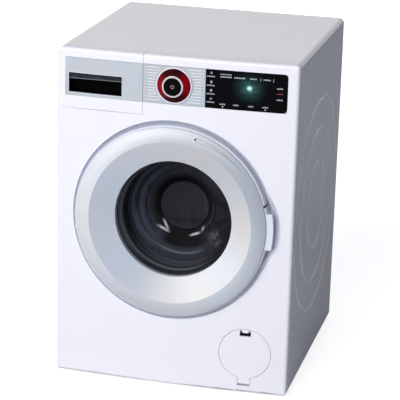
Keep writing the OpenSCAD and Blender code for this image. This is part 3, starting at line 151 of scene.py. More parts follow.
class Sock:
    """Output socket of a node that takes part in arithmetic."""

    def __init__(self, graph: "Graph", socket: bpy.types.NodeSocket) -> None:
        """Wraps a socket of the given graph."""
        self.graph = graph
        self.socket = socket

    def __add__(self, other: Value) -> "Sock":
        """Sum with a value or a socket."""
        return self.graph.maths("ADD", self, other)

    __radd__ = __add__

    def __sub__(self, other: Value) -> "Sock":
        """Difference from a value or a socket."""
        return self.graph.maths("SUBTRACT", self, other)

    def __rsub__(self, other: Value) -> "Sock":
        """A value less this socket."""
        return self.graph.maths("SUBTRACT", other, self)

    def __mul__(self, other: Value) -> "Sock":
        """Product with a value or a socket."""
        return self.graph.maths("MULTIPLY", self, other)

    __rmul__ = __mul__

    def __pow__(self, other: Value) -> "Sock":
        """Power of this socket."""
        return self.graph.maths("POWER", self, other)

    def __abs__(self) -> "Sock":
        """Absolute value of this socket."""
        return self.graph.maths("ABSOLUTE", self)

    def __lt__(self, other: Value) -> "Sock":
        """1 where this socket is below the other, else 0."""
        return self.graph.maths("LESS_THAN", self, other)

    def __gt__(self, other: Value) -> "Sock":
        """1 where this socket is above the other, else 0."""
        return self.graph.maths("GREATER_THAN", self, other)

    def high(self, other: Value) -> "Sock":
        """The higher of two values."""
        return self.graph.maths("MAXIMUM", self, other)

    def low(self, other: Value) -> "Sock":
        """The lower of two values."""
        return self.graph.maths("MINIMUM", self, other)

    def step(self, start: float, end: float) -> "Sock":
        """Smooth rise.

        Args:
            start: Value up to which the result is 0.
            end: Value from which the result is 1.

        Returns:
            The smooth step as a socket.
        """
        return self.graph.node(
            "ShaderNodeMapRange",
            {"interpolation_type": "SMOOTHSTEP"},
            {"Value": self, "From Min": start, "From Max": end},
            "Result",
        )

    def fall(self, start: float, end: float) -> "Sock":
        """Smooth fall from 1 at start to 0 at end."""
        return 1.0 - self.step(start, end)

    def near(self, middle: float, half: float, core: float = 0.0) -> "Sock":
        """1 up to the core's distance from the middle, falling to 0 at half."""
        return abs(self - middle).fall(core, half)


class Graph:
    """A node tree that is emptied first and filled by calls."""

    def __init__(self, tree: bpy.types.NodeTree) -> None:
        """Takes over a tree."""
        self.tree = tree
        self.tree.nodes.clear()

    def node(self, kind: str, settings: dict, inputs: dict, out: Union[str, int] = 0) -> Sock:
        """Adds a node.

        Args:
            kind: Type name of the node.
            settings: Properties of the node, which are set first.
            inputs: Values or links by the name or index of the socket.
            out: Name or index of the output that is wanted.

        Returns:
            The wanted output.
        """
        node = self.tree.nodes.new(kind)
        for key, value in settings.items():
            setattr(node, key, value)
        for key, value in inputs.items():
            self.feed(node.inputs[key], value)
        return Sock(self, node.outputs[out])

    def feed(self, socket: bpy.types.NodeSocket, value: object) -> None:
        """Links or sets one input socket.

        Args:
            socket: The input.
            value: A Sock to link, or a plain value. A colour is given without its alpha.
        """
        if isinstance(value, Sock):
            self.tree.links.new(value.socket, socket)
        elif socket.type == "RGBA":
            socket.default_value = (*value, 1.0)
        else:
            socket.default_value = value

    def close(self, kind: str, surface: Sock) -> None:
        """Ends the tree in an output node of the given kind."""
        output = self.tree.nodes.new(kind)
        self.feed(output.inputs["Surface"], surface)

    def maths(self, operation: str, a: Value, b: Value = 0.0) -> Sock:
        """Adds a Math node."""
        return self.node("ShaderNodeMath", {"operation": operation}, {0: a, 1: b})

    def blend(self, factor: Value, first: object, second: object) -> Sock:
        """Mixes two colours: the first where the factor is 0, the second where it is 1."""
        inputs = {MIX_FACTOR: factor, MIX_FIRST: first, MIX_SECOND: second}
        return self.node("ShaderNodeMix", {"data_type": "RGBA"}, inputs, MIX_RESULT)

    def product(self, a: object, b: object) -> Sock:
        """Product of two vectors or colours, part by part."""
        return self.node("ShaderNodeVectorMath", {"operation": "MULTIPLY"}, {0: a, 1: b})

    def scaled(self, colour: Sock, level: Value) -> Sock:
        """Makes a colour lighter or darker by a factor."""
        settings = {"operation": "SCALE"}
        return self.node("ShaderNodeVectorMath", settings, {0: colour, "Scale": level})

    def rays(self, *kinds: str) -> Sock:
        """Tells kinds of light path from the others.

        Args:
            kinds: Outputs of a Light Path node.

        Returns:
            1 for a ray of any of those kinds, else 0.
        """
        seen = self.node("ShaderNodeLightPath", {}, {}, kinds[0])
        outputs = seen.socket.node.outputs
        for kind in kinds[1:]:
            seen = seen.high(Sock(self, outputs[kind]))
        return seen


class Shader(Graph):
    """One material with a Principled shader, and the nodes in it."""

    def __init__(self, name: str) -> None:
        """Starts the material.

        Args:
            name: Name of the material.
        """
        self.material = bpy.data.materials.new(name)
        self.material.use_nodes = True
        super().__init__(self.material.node_tree)
        surface = self.node("ShaderNodeBsdfPrincipled", {}, {})
        self.principled = surface.socket.node
        self.close("ShaderNodeOutputMaterial", surface)

    def set(self, name: str, value: object) -> None:
        """Sets or links a socket of the Principled shader."""
        self.feed(self.principled.inputs[name], value)

    def place(self) -> Sock:
        """Place on the piece."""
        return self.node("ShaderNodeTexCoord", {}, {}, "Object")

    def axes(self) -> tuple[Sock, Sock, Sock]:
        """X, Y and Z of the place on the piece."""
        first = self.node("ShaderNodeSeparateXYZ", {}, {0: self.place()})
        return first, *(Sock(self, out) for out in first.socket.node.outputs[1:])

    def about(self, spot: Spot) -> tuple[Sock, Sock]:
        """Distances across and upwards from a spot on the front."""
        x, _, z = self.axes()
        return x - spot[0], z - spot[1]

    def polar(self, spot: Spot) -> tuple[Sock, Sock]:
        """Distance from a spot on the front and angle round it."""
        dx, dz = self.about(spot)
        return (dx * dx + dz * dz) ** 0.5, self.maths("ARCTAN2", dz, dx)

    def facing(self, angle: Sock, turn: float) -> Sock:
        """Cosine of an angle's distance from a turn."""
        return self.maths("COSINE", angle - turn)

    def noise(self, size: float, detail: float, stretch: Point = (1, 1, 1)) -> Sock:
        """Noise with features of about the given size.

        Args:
            size: Size of a feature.
            detail: Number of finer layers.
            stretch: Scale of the place along each axis.

        Returns:
            The noise from 0 to 1.
        """
        place = self.product(self.place(), stretch)
        inputs = {"Vector": place, "Scale": 1.0 / size, "Detail": detail}
        return self.node("ShaderNodeTexNoise", {}, inputs, "Fac")

    def bump(self, height: Sock, depth: float) -> None:
        """Feeds a relief of the given depth to the shader's normal."""
        inputs = {"Height": height, "Distance": depth, "Strength": 1.0}
        self.set("Normal", self.node("ShaderNodeBump", {}, inputs, "Normal"))


# Building blocks of the finishes -------------------------------------------------------

# Detail of noise: few layers for soft changes, more for marks
SOFT = 2.0
RICH = 4.0


def spread(colour: Sequence[float], share: float) -> tuple[Colour, Colour]:
    """Spreads a colour to both sides.

    Args:
        colour: The colour in the middle.
        share: How much darker and lighter the ends are.

    Returns:
        The dark end and the light end.
    """
    dark = tuple(c * (1.0 - share) for c in colour)
    light = tuple(min(1.0, c * (1.0 + share)) for c in colour)
    return dark, light


@dataclass(frozen=True)
class Cloud:
    """Patchy field: noise cut to the range in cover, scaled by swing and raised to base."""

    size: float
    detail: float
    cover: Spot
    stretch: Point = (1, 1, 1)
    swing: float = 1.0
    base: float = 0.0

    def field(self, shader: Shader) -> Sock:
        """The field's value at each place."""
        noise = shader.noise(self.size, self.detail, self.stretch)
        return noise.step(*self.cover) * self.swing + self.base


@dataclass(frozen=True)
class Sector:
    """Soft sector round an axis.

    It is empty where the cosine of the distance from its middle is at the start, and full where
    that cosine is at the end.
    """

    middle: float
    start: float
    end: float

    def mask(self, shader: Shader, angle: Sock) -> Sock:
        """0 outside the sector, 1 in its middle."""
        return shader.facing(angle, self.middle).step(self.start, self.end)


@dataclass(frozen=True)
class Lobe:
    """Rounded lobe of tone round an axis, with its height and the sharpness of its ends."""

    middle: float
    height: float = 1.0
    sharpness: float = 1.0

    def level(self, shader: Shader, angle: Sock) -> Sock:
        """Height of the lobe at an angle."""
        return shader.facing(angle, self.middle).high(0.0) ** self.sharpness * self.height


@dataclass(frozen=True)
class Ring:
    """Thin ring round an axis, with its radius, its half width and how well it covers."""

    radius: float
    half: float
    cover: float


@dataclass(frozen=True)
class Arc(Ring):
    """Part of a thin ring, round a turn."""

    turn: float


@dataclass(frozen=True)
class Stroke:
    """Straight stroke of painted glint between two spots, and how well it covers."""

    start: Spot
    end: Spot
    cover: float
    taper: Spot = (0.15, 1.0)
    # Noise that breaks up the painted glint
    glint_breaks: Cloud = Cloud(0.0016, SOFT, (0.25, 0.60), swing=0.35, base=0.65)

    def mask(self, shader: Shader, across: Sock, upwards: Sock, half: float) -> Sock:
        """Mask of the stroke, which tapers at both ends.

        Args:
            shader: Material that takes the nodes.
            across: Distance across from the spot that start and end are given from.
            upwards: Distance upwards from it.
            half: Half width of the stroke.

        Returns:
            Its cover along the middle of the stroke, 0 outside it.
        """
        (x0, z0), (x1, z1) = self.start, self.end
        length = math.hypot(x1 - x0, z1 - z0)
        ux, uz = (x1 - x0) / length, (z1 - z0) / length
        along = ((across - x0) * ux + (upwards - z0) * uz) * (2.0 / length) - 1.0
        aside = (across - x0) * uz - (upwards - z0) * ux
        ends = abs(along).fall(*self.taper)
        return abs(aside).fall(0.0, half) * ends * self.glint_breaks.field(shader) * self.cover


# Finishes ------------------------------------------------------------------------------


@dataclass(frozen=True)
class Finish:
    """Moulded surface with slow tone drift, fine grain and uneven gloss.

    The grain is the texture of the mould, the drift the slow change of tone over a panel, and
    the smears are the places where handling dulled the gloss.
    """

    slot: str
    colour: Colour
    roughness: float
    metallic: float = 0.0
    coat: float = 0.0
    coat_roughness: float = 0.05
    specular: float = 0.5
    drift: float = 0.03
    drift_size: float = 0.06
    grain_size: float = 0.0009
    grain_depth: float = 0.00002
    smear: float = 0.06
    smear_size: float = 0.02
    smear_cover: Spot = (0.42, 0.72)
    stretch: Point = (1, 1, 1)

    def make(self) -> bpy.types.Material:
        """Builds the material.

        Returns:
            The material, named after its slot.
        """
        shader = Shader(self.slot)
        shader.set("Metallic", self.metallic)
        shader.set("Specular IOR Level", self.specular)
        shader.set("Coat Weight", self.coat)
        shader.set("Coat Roughness", self.coat_roughness)
        shader.set("Base Color", self.tone(shader))
        shader.set("Roughness", self.gloss(shader))
        shader.bump(shader.noise(self.grain_size, SOFT, self.stretch), self.grain_depth)
        self.special(shader)
        return shader.material

    def tone(self, shader: Shader) -> Sock:
        """Base colour with its slow drift."""
        slow = shader.noise(self.drift_size, SOFT)
        return shader.blend(slow, *spread(self.colour, self.drift))

    def gloss(self, shader: Shader) -> Sock:
        """Roughness with smears."""
        smears = shader.noise(self.smear_size, RICH).step(*self.smear_cover)
        return smears * self.smear + self.roughness

    def special(self, shader: Shader) -> None:
        """Anything that only one finish has."""


@dataclass(frozen=True)
class Lacquer(Finish):
    """Silver lacquer with fine metal flakes, whose tone drifts from cool to warm."""

    flake_size: float = 0.0004
    flake: float = 0.03
    warm: Colour = (1.04, 1.0, 0.95)
    cool: Colour = (0.95, 1.0, 1.05)
    drift_cover: Spot = (0.35, 0.65)

    def tone(self, shader: Shader) -> Sock:
        """Base colour with flakes and drift.

        Args:
            shader: Material that takes the nodes.

        Returns:
            The colour.
        """
        inputs = {"Vector": shader.place(), "Scale": 1.0 / self.flake_size}
        sparks = shader.node("ShaderNodeTexVoronoi", {}, inputs, "Color")
        level = shader.node("ShaderNodeSeparateColor", {}, {0: sparks})
        slow = shader.noise(self.drift_size, SOFT).step(*self.drift_cover)
        sides = []
        for tint in (self.cool, self.warm):
            tinted = [c * t for c, t in zip(self.colour, tint)]
            sides.append(shader.blend(level, *spread(tinted, self.flake)))
        return shader.blend(slow, *sides)


@dataclass(frozen=True)
class FasciaSilver(Lacquer):
    """Silver lacquer of the control strip, with a painted shade in its lower left corner.

    The painted shade's and the plate's ranges are the places at which their tone starts and is
    full.
    """

    # Painted shade: the lower left corner is darkened in the colour
    shade_x: Spot = (TRIM.left - 0.0040, TRIM.left + 0.0080)
    shade_z: Spot = (TRIM.low + 0.0102, TRIM.low + 0.0242)
    shade: float = 0.22
    plate_x: Spot = (PLATE.left - 0.0010, PLATE.left)
    plate_drop: float = 0.09
    level: float = 1.07

    def tone(self, shader: Shader) -> Sock:
        """Base colour, the painted shade in the corner and the knob plate's darker tone.

        Args:
            shader: Material that takes the nodes.

        Returns:
            The colour.
        """
        x, _, z = shader.axes()
        # painted shade in the lower left corner
        corner = x.fall(*self.shade_x) * z.fall(*self.shade_z) * self.shade
        plate = x.step(*self.plate_x) * self.plate_drop
        return shader.scaled(super().tone(shader), self.level - corner - plate)


@dataclass(frozen=True)
class DoorSilver(Lacquer):
    """Silver lacquer of the door's ring, with painted light and shade round its lip and cone."""

    crest: float = 0.0633
    crest_half: float = 0.0002
    # Painted light and shade of the lip: lightest towards the upper left, with painted shade on its
    # upper right and a painted highlight on its lower right
    lip_lit_turn: float = math.radians(158.0)
    lip_level: float = 0.87
    lip_swing: float = 0.19
    lip_painted_shade: Lobe = Lobe(math.radians(58.0), 0.15, 2.0)
    lip_painted_highlight: Lobe = Lobe(math.radians(-45.0), 0.26, 2.5)
    # Tint of the lip, cooler on its shaded right side
    lip_tint: Colour = (0.975, 0.99, 1.01)
    lip_cool: Colour = (0.92, 0.99, 1.06)
    lip_shaded_side: Sector = Sector(math.radians(-12.0), 0.2, 1.0)
    # Painted light and shade of the cone: lighter towards the upper left and the lower right, with
    # painted shade at its bottom
    cone_lit_turn: float = math.radians(125.0)
    cone_level: float = 1.05
    cone_swing: float = 0.10
    cone_painted_shade: Lobe = Lobe(math.radians(262.0), 0.30, 4.0)
    # Tint of the cone, cooler on its shaded left side
    cone_warm: Colour = (1.012, 1.0, 0.978)
    cone_cool: Colour = (0.92, 0.985, 1.07)
    cone_shaded_side: Sector = Sector(math.radians(192.0), -0.3, 1.0)

    def tone(self, shader: Shader) -> Sock:
        """Base colour with the painted light and shade, and their tint, round the door.

        Args:
            shader: Material that takes the nodes.

        Returns:
            The colour.
        """
        away, angle = shader.polar(DOOR_AXIS)
        on_lip = away.step(self.crest - self.crest_half, self.crest + self.crest_half)
        # painted light and shade round the lip and the cone
        lip = shader.facing(angle, self.lip_lit_turn) * self.lip_swing + self.lip_level
        lip = lip - self.lip_painted_shade.level(shader, angle) + self.lip_painted_highlight.level(shader, angle)
        twice = (angle - self.cone_lit_turn) * 2.0
        cone = shader.maths("COSINE", twice) * self.cone_swing + self.cone_level
        cone = cone - self.cone_painted_shade.level(shader, angle)
        # painted tint, cooler where the ring is shaded
        tint = shader.blend(
            on_lip,
            shader.blend(self.cone_shaded_side.mask(shader, angle), self.cone_warm, self.cone_cool),
            shader.blend(self.lip_shaded_side.mask(shader, angle), self.lip_tint, self.lip_cool),
        )
        tinted = shader.product(super().tone(shader), tint)
        return shader.scaled(tinted, lip * on_lip + cone * (1.0 - on_lip))


@dataclass(frozen=True)
class ShadedRecessWhite(Finish):
    """White moulding with painted violet shade in the recess round the door and in the finger
    pocket.

    A depth is measured from the bowed front. Ranges are the places at which a painted shade starts
    and is full.
    """

    # Painted violet shade of the recess, and the paler shade towards its lower right and lower left
    recess: Colour = (0.615, 0.645, 0.735)
    recess_pale_shade: Colour = (0.89, 0.905, 1.0)
    recess_from: Spot = (0.066, 0.070)
    recess_end: float = 0.0790
    recess_depth: Spot = (0.0006, 0.0018)
    light: Lobe = Lobe(math.radians(-52.0))
    faint_shade_paling: Lobe = Lobe(math.radians(205.0), 0.9)
    # Painted shade of the finger pocket: pale low down, turning to the recess's darker shade
    # towards its top
    pocket: Colour = (0.89, 0.905, 1.0)
    pocket_end: float = 0.0920
    pocket_side: float = 0.0632
    pocket_depth: Spot = (0.0003, 0.0015)
    pocket_painted_shade: Spot = (0.0020, 0.0150)

    def tone(self, shader: Shader) -> Sock:
        """White, and painted violet shade on the recess's floor and walls and in the pocket.

        Args:
            shader: Material that takes the nodes.

        Returns:
            The colour.
        """
        x, y, _ = shader.axes()
        dx, dz = shader.about(DOOR_AXIS)
        away, angle = shader.polar(DOOR_AXIS)
        depth = y - (x * x * (0.5 / BOW.radius) + BOW.crest)
        # painted shade in the recess, paler towards the lower right and the lower left
        light = self.light.level(shader, angle) + self.faint_shade_paling.level(shader, angle)
        tint = shader.blend(light.low(1.0), self.recess, self.recess_pale_shade)
        inside = away.step(*self.recess_from) * (away < self.recess_end)
        colour = shader.blend(depth.step(*self.recess_depth) * inside, super().tone(shader), tint)
        # painted shade in the finger pocket, darker towards its top
        beyond = (away > self.recess_end) * (away < self.pocket_end) * (dx > self.pocket_side)
        painted_pocket_tone = shader.blend(dz.step(*self.pocket_painted_shade), self.pocket, self.recess)
        return shader.blend(depth.step(*self.pocket_depth) * beyond, colour, painted_pocket_tone)


@dataclass(frozen=True)
class NotchShadeWhite(Finish):
    """White of the door's frame, with a painted shadow inside the small notch above the handle tab.
    """

    notch: Spot = (DOOR_AXIS[0] + 0.0721, DOOR_AXIS[1] + 0.0196)
    edge: Spot = (0.00088, 0.0011)
    # Painted shadow colour inside the notch
    inside: Colour = (0.020, 0.020, 0.040)

    def tone(self, shader: Shader) -> Sock:
        """White, and painted shadow in the notch."""
        away, _ = shader.polar(self.notch)
        return shader.blend(away.fall(*self.edge), super().tone(shader), self.inside)


@dataclass(frozen=True)
class RingLitWhite(Finish):
    """White of the cabinet's shell, with painted light in soft bands along the ring grooves of its
    sides.

    A band is full up to the first distance from its groove, and ends at the second.
    """

    grooves: tuple[float, ...] = (0.0350, 0.0620, 0.0855)
    middle: Spot = (0.0, HEIGHT / 2)
    band: Spot = (0.0006, 0.0034)
    # Painted light of the bands along the grooves
    band_painted_light: Colour = (0.98, 0.975, 0.99)
    band_light_cover: float = 0.85
    side_x: float = HALF_WIDTH - 0.0010

    def tone(self, shader: Shader) -> Sock:
        """White, and the painted light of the bands.

        Args:
            shader: Material that takes the nodes.

        Returns:
            The colour.
        """
        x, y, z = shader.axes()
        dy = y - self.middle[0]
        dz = z - self.middle[1]
        away = (dy * dy + dz * dz) ** 0.5
        nearest = abs(away - self.grooves[0])
        for radius in self.grooves[1:]:
            nearest = nearest.low(abs(away - radius))
        # painted light in bands along the side grooves
        mask = nearest.fall(*self.band) * (abs(x) > self.side_x) * self.band_light_cover
        return shader.blend(mask, super().tone(shader), self.band_painted_light)


@dataclass(frozen=True)
class RingSheen(Finish):
    """Glossy red of the knob's skirt, with a painted reflection: two bright and two dark lobes
    round its axis.
    """

    # Painted reflection: dark red at the top and the bottom of the skirt, bright red at its sides
    dark: Colour = (0.027, 0.001, 0.003)
    turn: float = math.radians(6.0)
    bright: Spot = (0.15, 1.0)
    cloud_size: float = 0.006
    cloud_swing: float = 0.25
    cloud_base: float = 0.85

    def tone(self, shader: Shader) -> Sock:
        """Red with a painted reflection, darkening towards the top and the bottom of the skirt.

        Args:
            shader: Material that takes the nodes.

        Returns:
            The colour.
        """
        _, angle = shader.polar(KNOB_AXIS)
        # painted reflection round the skirt
        reflection_wave = shader.maths("COSINE", (angle - self.turn) * 2.0) * 0.5 + 0.5
        cloud = shader.noise(self.cloud_size, SOFT) * self.cloud_swing + self.cloud_base
        return shader.blend(reflection_wave.step(*self.bright) * cloud, self.dark, self.colour)


@dataclass(frozen=True)
class PullHood(Finish):
    """Dark hood of the drawer's pull with a painted blue-grey reflection in patches, and a bright
    strip along its lower edge.
    """

    # Painted blue-grey reflection over the dark hood
    reflection_sheen: Colour = (0.038, 0.052, 0.074)
    cloud: Cloud = Cloud(0.003, 3.0, (0.35, 0.75), (0.35, 1.0, 1.0))
    strip: Colour = (0.19, 0.20, 0.235)
    strip_low: float = outline("drawer_grip").low - 0.0003
    strip_high: float = outline("drawer_grip").low + 0.0006

    def tone(self, shader: Shader) -> Sock:
        """Painted blue-grey reflection, and the strip.

        Args:
            shader: Material that takes the nodes.

        Returns:
            The colour.
        """
        _, _, z = shader.axes()
        # painted reflection in patches
        hood = shader.blend(self.cloud.field(shader), self.colour, self.reflection_sheen)
        strip = (z > self.strip_low) * (z < self.strip_high)
        return shader.blend(strip, hood, self.strip)


@dataclass(frozen=True)
class SmokyGlass(Finish):
    """Clear plastic with a dark tint, with painted light and shade round the bowl's disc.

    Radii and spots are measured from the bowl's axis. A pair of radii is where a zone starts
    and is full, or where it begins to end and has ended. A swing is how much a mask adds to a
    cover, and the cover that it adds to.
    """

    see_through: float = 0.14
    slant: float = 0.35
    # Colours of the painted reflections and of the painted shade
    reflection_lines: Colour = (0.42, 0.46, 0.54)
    painted_shade: Colour = (0.002, 0.002, 0.003)

    disc_edge: Spot = (0.0184, 0.0190)
    disc_level: float = 0.86
    disc_streaks: Cloud = Cloud(0.0050, 3.0, (0.3, 0.7), (2.2, 1.0, 0.5), swing=0.30, base=0.85)
    disc_patch: Spot = (-0.0115, 0.0042)
    disc_patch_drop: float = 0.30

    # Painted haze of reflected light between the disc and the rim, stronger on the left
    haze: Colour = (0.054, 0.060, 0.086)
    haze_start: Spot = (0.0255, 0.0310)
    haze_end: Spot = (0.0405, 0.0428)
    haze_side: Sector = Sector(3.0, -0.3, 1.0)
    haze_cloud: Cloud = Cloud(0.008, 3.0, (0.3, 0.75), swing=0.5, base=0.5)
    haze_swing: Spot = (0.75, 0.25)

    # Painted shade: a dark ring round the disc and a dark zone below it
    moat_start: Spot = (0.0188, 0.0200)
    moat_end: Spot = (0.0215, 0.0285)
    moat_turn: float = 2.3
    moat_swing: Spot = (0.35, 0.60)
    deep_end: Spot = (0.0310, 0.0350)
    deep_side: Sector = Sector(-1.55, 0.72, 0.95)
    deep_cover: float = 0.95

    # Painted reflections: light rings on the lower left and light arcs round the disc
    bands: tuple[Ring, ...] = (
        Ring(0.0458, 0.0012, 0.33), Ring(0.0431, 0.0005, 0.25), Ring(0.0416, 0.0008, 0.10))
    bands_core: float = 0.3
    bands_side: Sector = Sector(-2.2, -0.2, 0.9)
    arcs: tuple[Arc, ...] = (
        Arc(0.0364, 0.0012, 0.200, -1.62), Arc(0.0372, 0.0020, 0.120, -2.60),
        Arc(0.0172, 0.0005, 0.080, 0.30), Arc(0.0232, 0.0010, 0.064, -0.30),
        Arc(0.0262, 0.0012, 0.048, -0.15), Arc(0.0300, 0.0010, 0.048, -0.35))
    arc_ends: Spot = (0.80, 0.98)
    # Painted glints: short bright strokes below the disc
    strokes: tuple[Stroke, ...] = (
        Stroke((-0.0181, -0.0114), (-0.0119, -0.0222), 0.85),
        Stroke((-0.0228, -0.0163), (-0.0106, -0.0231), 1.0),
        Stroke((0.0031, -0.0244), (0.0143, -0.0200), 0.9),
        Stroke((0.0137, -0.0204), (0.0158, -0.0147), 0.6))
    stroke_half: float = 0.0013
    glint_colour: Colour = (0.72, 0.72, 0.76)

    # Painted reflections in light rings on the left side, with painted shade in the dark rings
    # between them
    left_side: Sector = Sector(2.95, 0.25, 0.98)
    left_bands: tuple[Ring, ...] = (
        Ring(0.0436, 0.0010, 0.34), Ring(0.0392, 0.0010, 0.16), Ring(0.0334, 0.0013, 0.10))
    left_gaps: tuple[Ring, ...] = (
        Ring(0.0418, 0.0010, 0.75), Ring(0.0363, 0.0009, 0.75), Ring(0.0300, 0.0010, 0.75))

    # Painted shade on the right side, broken up by noise, and a lighter grey blotch
    right_side: Sector = Sector(-0.25, 0.55, 1.0)
    right_start: Spot = (0.0215, 0.0260)
    right_swing: Spot = (0.40, 0.35)
    smoke: Cloud = Cloud(0.0042, RICH, (0.30, 0.70))
    smoke_colour: Colour = (0.36, 0.37, 0.39)
    blotch: Spot = (0.0267, -0.0222)
    blotch_radius: float = 0.0080
    blotch_cover: float = 0.28

    def face(self, shader: Shader, away: Sock) -> Sock:
        """Tinted plastic, with the streaks and the darker patch of the disc in its middle.

        Args:
            shader: Material that takes the nodes.
            away: Distance from the bowl's axis.

        Returns:
            The colour below all the zones.
        """
        _, dz = shader.about(DOOR_AXIS)
        patch = dz.near(*self.disc_patch) * self.disc_patch_drop
        disc = (self.disc_streaks.field(shader) - patch) * self.disc_level
        outside = away.step(*self.disc_edge)
        return shader.scaled(super().tone(shader), outside + disc * (1.0 - outside))

    def shadow(self, shader: Shader, away: Sock, angle: Sock) -> Sock:
        """Mask of the painted shade: the dark ring round the disc and the dark zone below it.

        Args:
            shader: Material that takes the nodes.
            away: Distance from the bowl's axis.
            angle: Angle round it.

        Returns:
            1 where the plastic is darkest, 0 outside both zones.
        """
        outside = away.step(*self.moat_start)
        swing, base = self.moat_swing
        turned = shader.facing(angle, self.moat_turn) * 0.5 + 0.5
        moat = outside * away.fall(*self.moat_end) * (turned * swing + base)
        deep = outside * away.fall(*self.deep_end) * self.deep_side.mask(shader, angle)
        return moat.high(deep * self.deep_cover)

    def zones(self, shader: Shader, away: Sock, angle: Sock) -> Iterator[tuple[Sock, Colour]]:
        """Painted haze, painted shade, and painted reflections in rings and arcs, from the lowest
        to the highest.

        Args:
            shader: Material that takes the nodes.
            away: Distance from the bowl's axis.
            angle: Angle round it.

        Yields:
            The mask and the colour of each.
        """
        swing, base = self.haze_swing
        hazy = away.step(*self.haze_start) * away.fall(*self.haze_end)
        hazy = hazy * (self.haze_side.mask(shader, angle) * swing + base)
        yield hazy * self.haze_cloud.field(shader), self.haze
        yield self.shadow(shader, away, angle), self.painted_shade
        side = self.bands_side.mask(shader, angle)
        for ring in self.bands:
            band = away.near(ring.radius, ring.half, ring.half * self.bands_core)
            yield band * side * ring.cover, self.reflection_lines
        for arc in self.arcs:
            part = Sector(arc.turn, *self.arc_ends).mask(shader, angle)
            yield away.near(arc.radius, arc.half) * part * arc.cover, self.reflection_lines

    def gleams(self, shader: Shader, away: Sock, angle: Sock) -> Iterator[tuple[Sock, Colour]]:
        """Painted glints, painted reflections and shade in rings on the left, painted shade on the
        right side, and a lighter blotch.

        Args:
            shader: Material that takes the nodes.
            away: Distance from the bowl's axis.
            angle: Angle round it.

        Yields:
            The mask and the colour of each.
        """
        dx, dz = shader.about(DOOR_AXIS)
        for stroke in self.strokes:
            yield stroke.mask(shader, dx, dz, self.stroke_half), self.glint_colour
        left = self.left_side.mask(shader, angle)
        for rings, colour in ((self.left_bands, self.reflection_lines), (self.left_gaps, self.painted_shade)):
            for ring in rings:
                yield away.near(ring.radius, ring.half) * left * ring.cover, colour
        smoke = self.smoke.field(shader)
        right = self.right_side.mask(shader, angle) * away.step(*self.right_start)
        swing, base = self.right_swing
        yield right * ((1.0 - smoke) * swing + base), self.painted_shade
        across, upwards = dx - self.blotch[0], dz - self.blotch[1]
        spot = (across * across + upwards * upwards) ** 0.5
        yield spot.fall(0.0, self.blotch_radius) * smoke * self.blotch_cover, self.smoke_colour

    def tone(self, shader: Shader) -> Sock:
        """Dark tint with the painted light and shade that lie over it.

        Args:
            shader: Material that takes the nodes.

        Returns:
            The colour.
        """
        away, angle = shader.polar(DOOR_AXIS)
        colour = self.face(shader, away)
        # painted light and shade, layer by layer
        for layers in (self.zones, self.gleams):
            for mask, paint in layers(shader, away, angle):
                colour = shader.blend(mask, colour, paint)
        return colour

    def special(self, shader: Shader) -> None:
        """Lets part of the light through, less at a slant and none where shade is painted.

        Args:
            shader: Material that takes the nodes.
        """
        slant = shader.node("ShaderNodeLayerWeight", {}, {"Blend": self.slant}, "Facing")
        shadow = self.shadow(shader, *shader.polar(DOOR_AXIS))
        shader.set("Alpha", 1.0 - (1.0 - slant) * (1.0 - shadow) * self.see_through)


@dataclass(frozen=True)
class ScreenGloss(Finish):
    """Black display window with a soft teal glow behind its middle.

    The glow has a bright core, a wide halo and a short tail below the core.
    """

    glow: Colour = (0.16, 0.52, 0.50)
    core: Colour = (0.62, 0.96, 0.94)
    core_at: Spot = (WINDOW.left + 0.0328, WINDOW.low + 0.0170)
    core_radius: float = 0.0035
    core_level: float = 1.25
    tail_at: Spot = (WINDOW.left + 0.0338, WINDOW.low + 0.0146)
    tail_radius: float = 0.00315
    tail_level: float = 0.34
    halo_radius: float = 0.0165
    halo_power: float = 2.6
    halo_level: float = 0.32
    flatness: float = 1.25
    cloud: Cloud = Cloud(0.0030, 3.0, (0.25, 0.8), (0.45, 1.0, 1.6), swing=0.7, base=0.6)
    strength: float = 1.0

    def away(self, shader: Shader, spot: Spot) -> Sock:
        """Distance from a spot on the front, longer upwards than across."""
        dx, dz = shader.about(spot)
        return (dx * dx + dz * dz * self.flatness) ** 0.5

    def special(self, shader: Shader) -> None:
        """Adds the light of the screen.

        Args:
            shader: Material that takes the nodes.
        """
        away = self.away(shader, self.core_at)
        cloud = self.cloud.field(shader)
        core = away.fall(0.0, self.core_radius) * self.core_level
        rest = 1.0 - (away * (1.0 / self.halo_radius)).low(1.0)
        halo = rest**self.halo_power * cloud * self.halo_level
        tail = self.away(shader, self.tail_at).fall(0.0, self.tail_radius) * cloud * self.tail_level
        level = halo.high(core).high(tail).low(1.0)
        light = shader.blend(level, BLACK, shader.blend(core, self.glow, self.core))
        shader.set("Emission Color", light)
        shader.set("Emission Strength", self.strength)


# Depth of the grain on smooth pieces
SMOOTH = 0.000002

# What the white mouldings of the cabinet share
MOULDED: dict[str, float] = {
    "specular": 0.35,
    "drift": 0.008,
    "drift_size": 0.15,
    "grain_size": 0.0008,
    "grain_depth": SMOOTH,
    "smear": 0.015,
    "smear_size": 0.05,
}

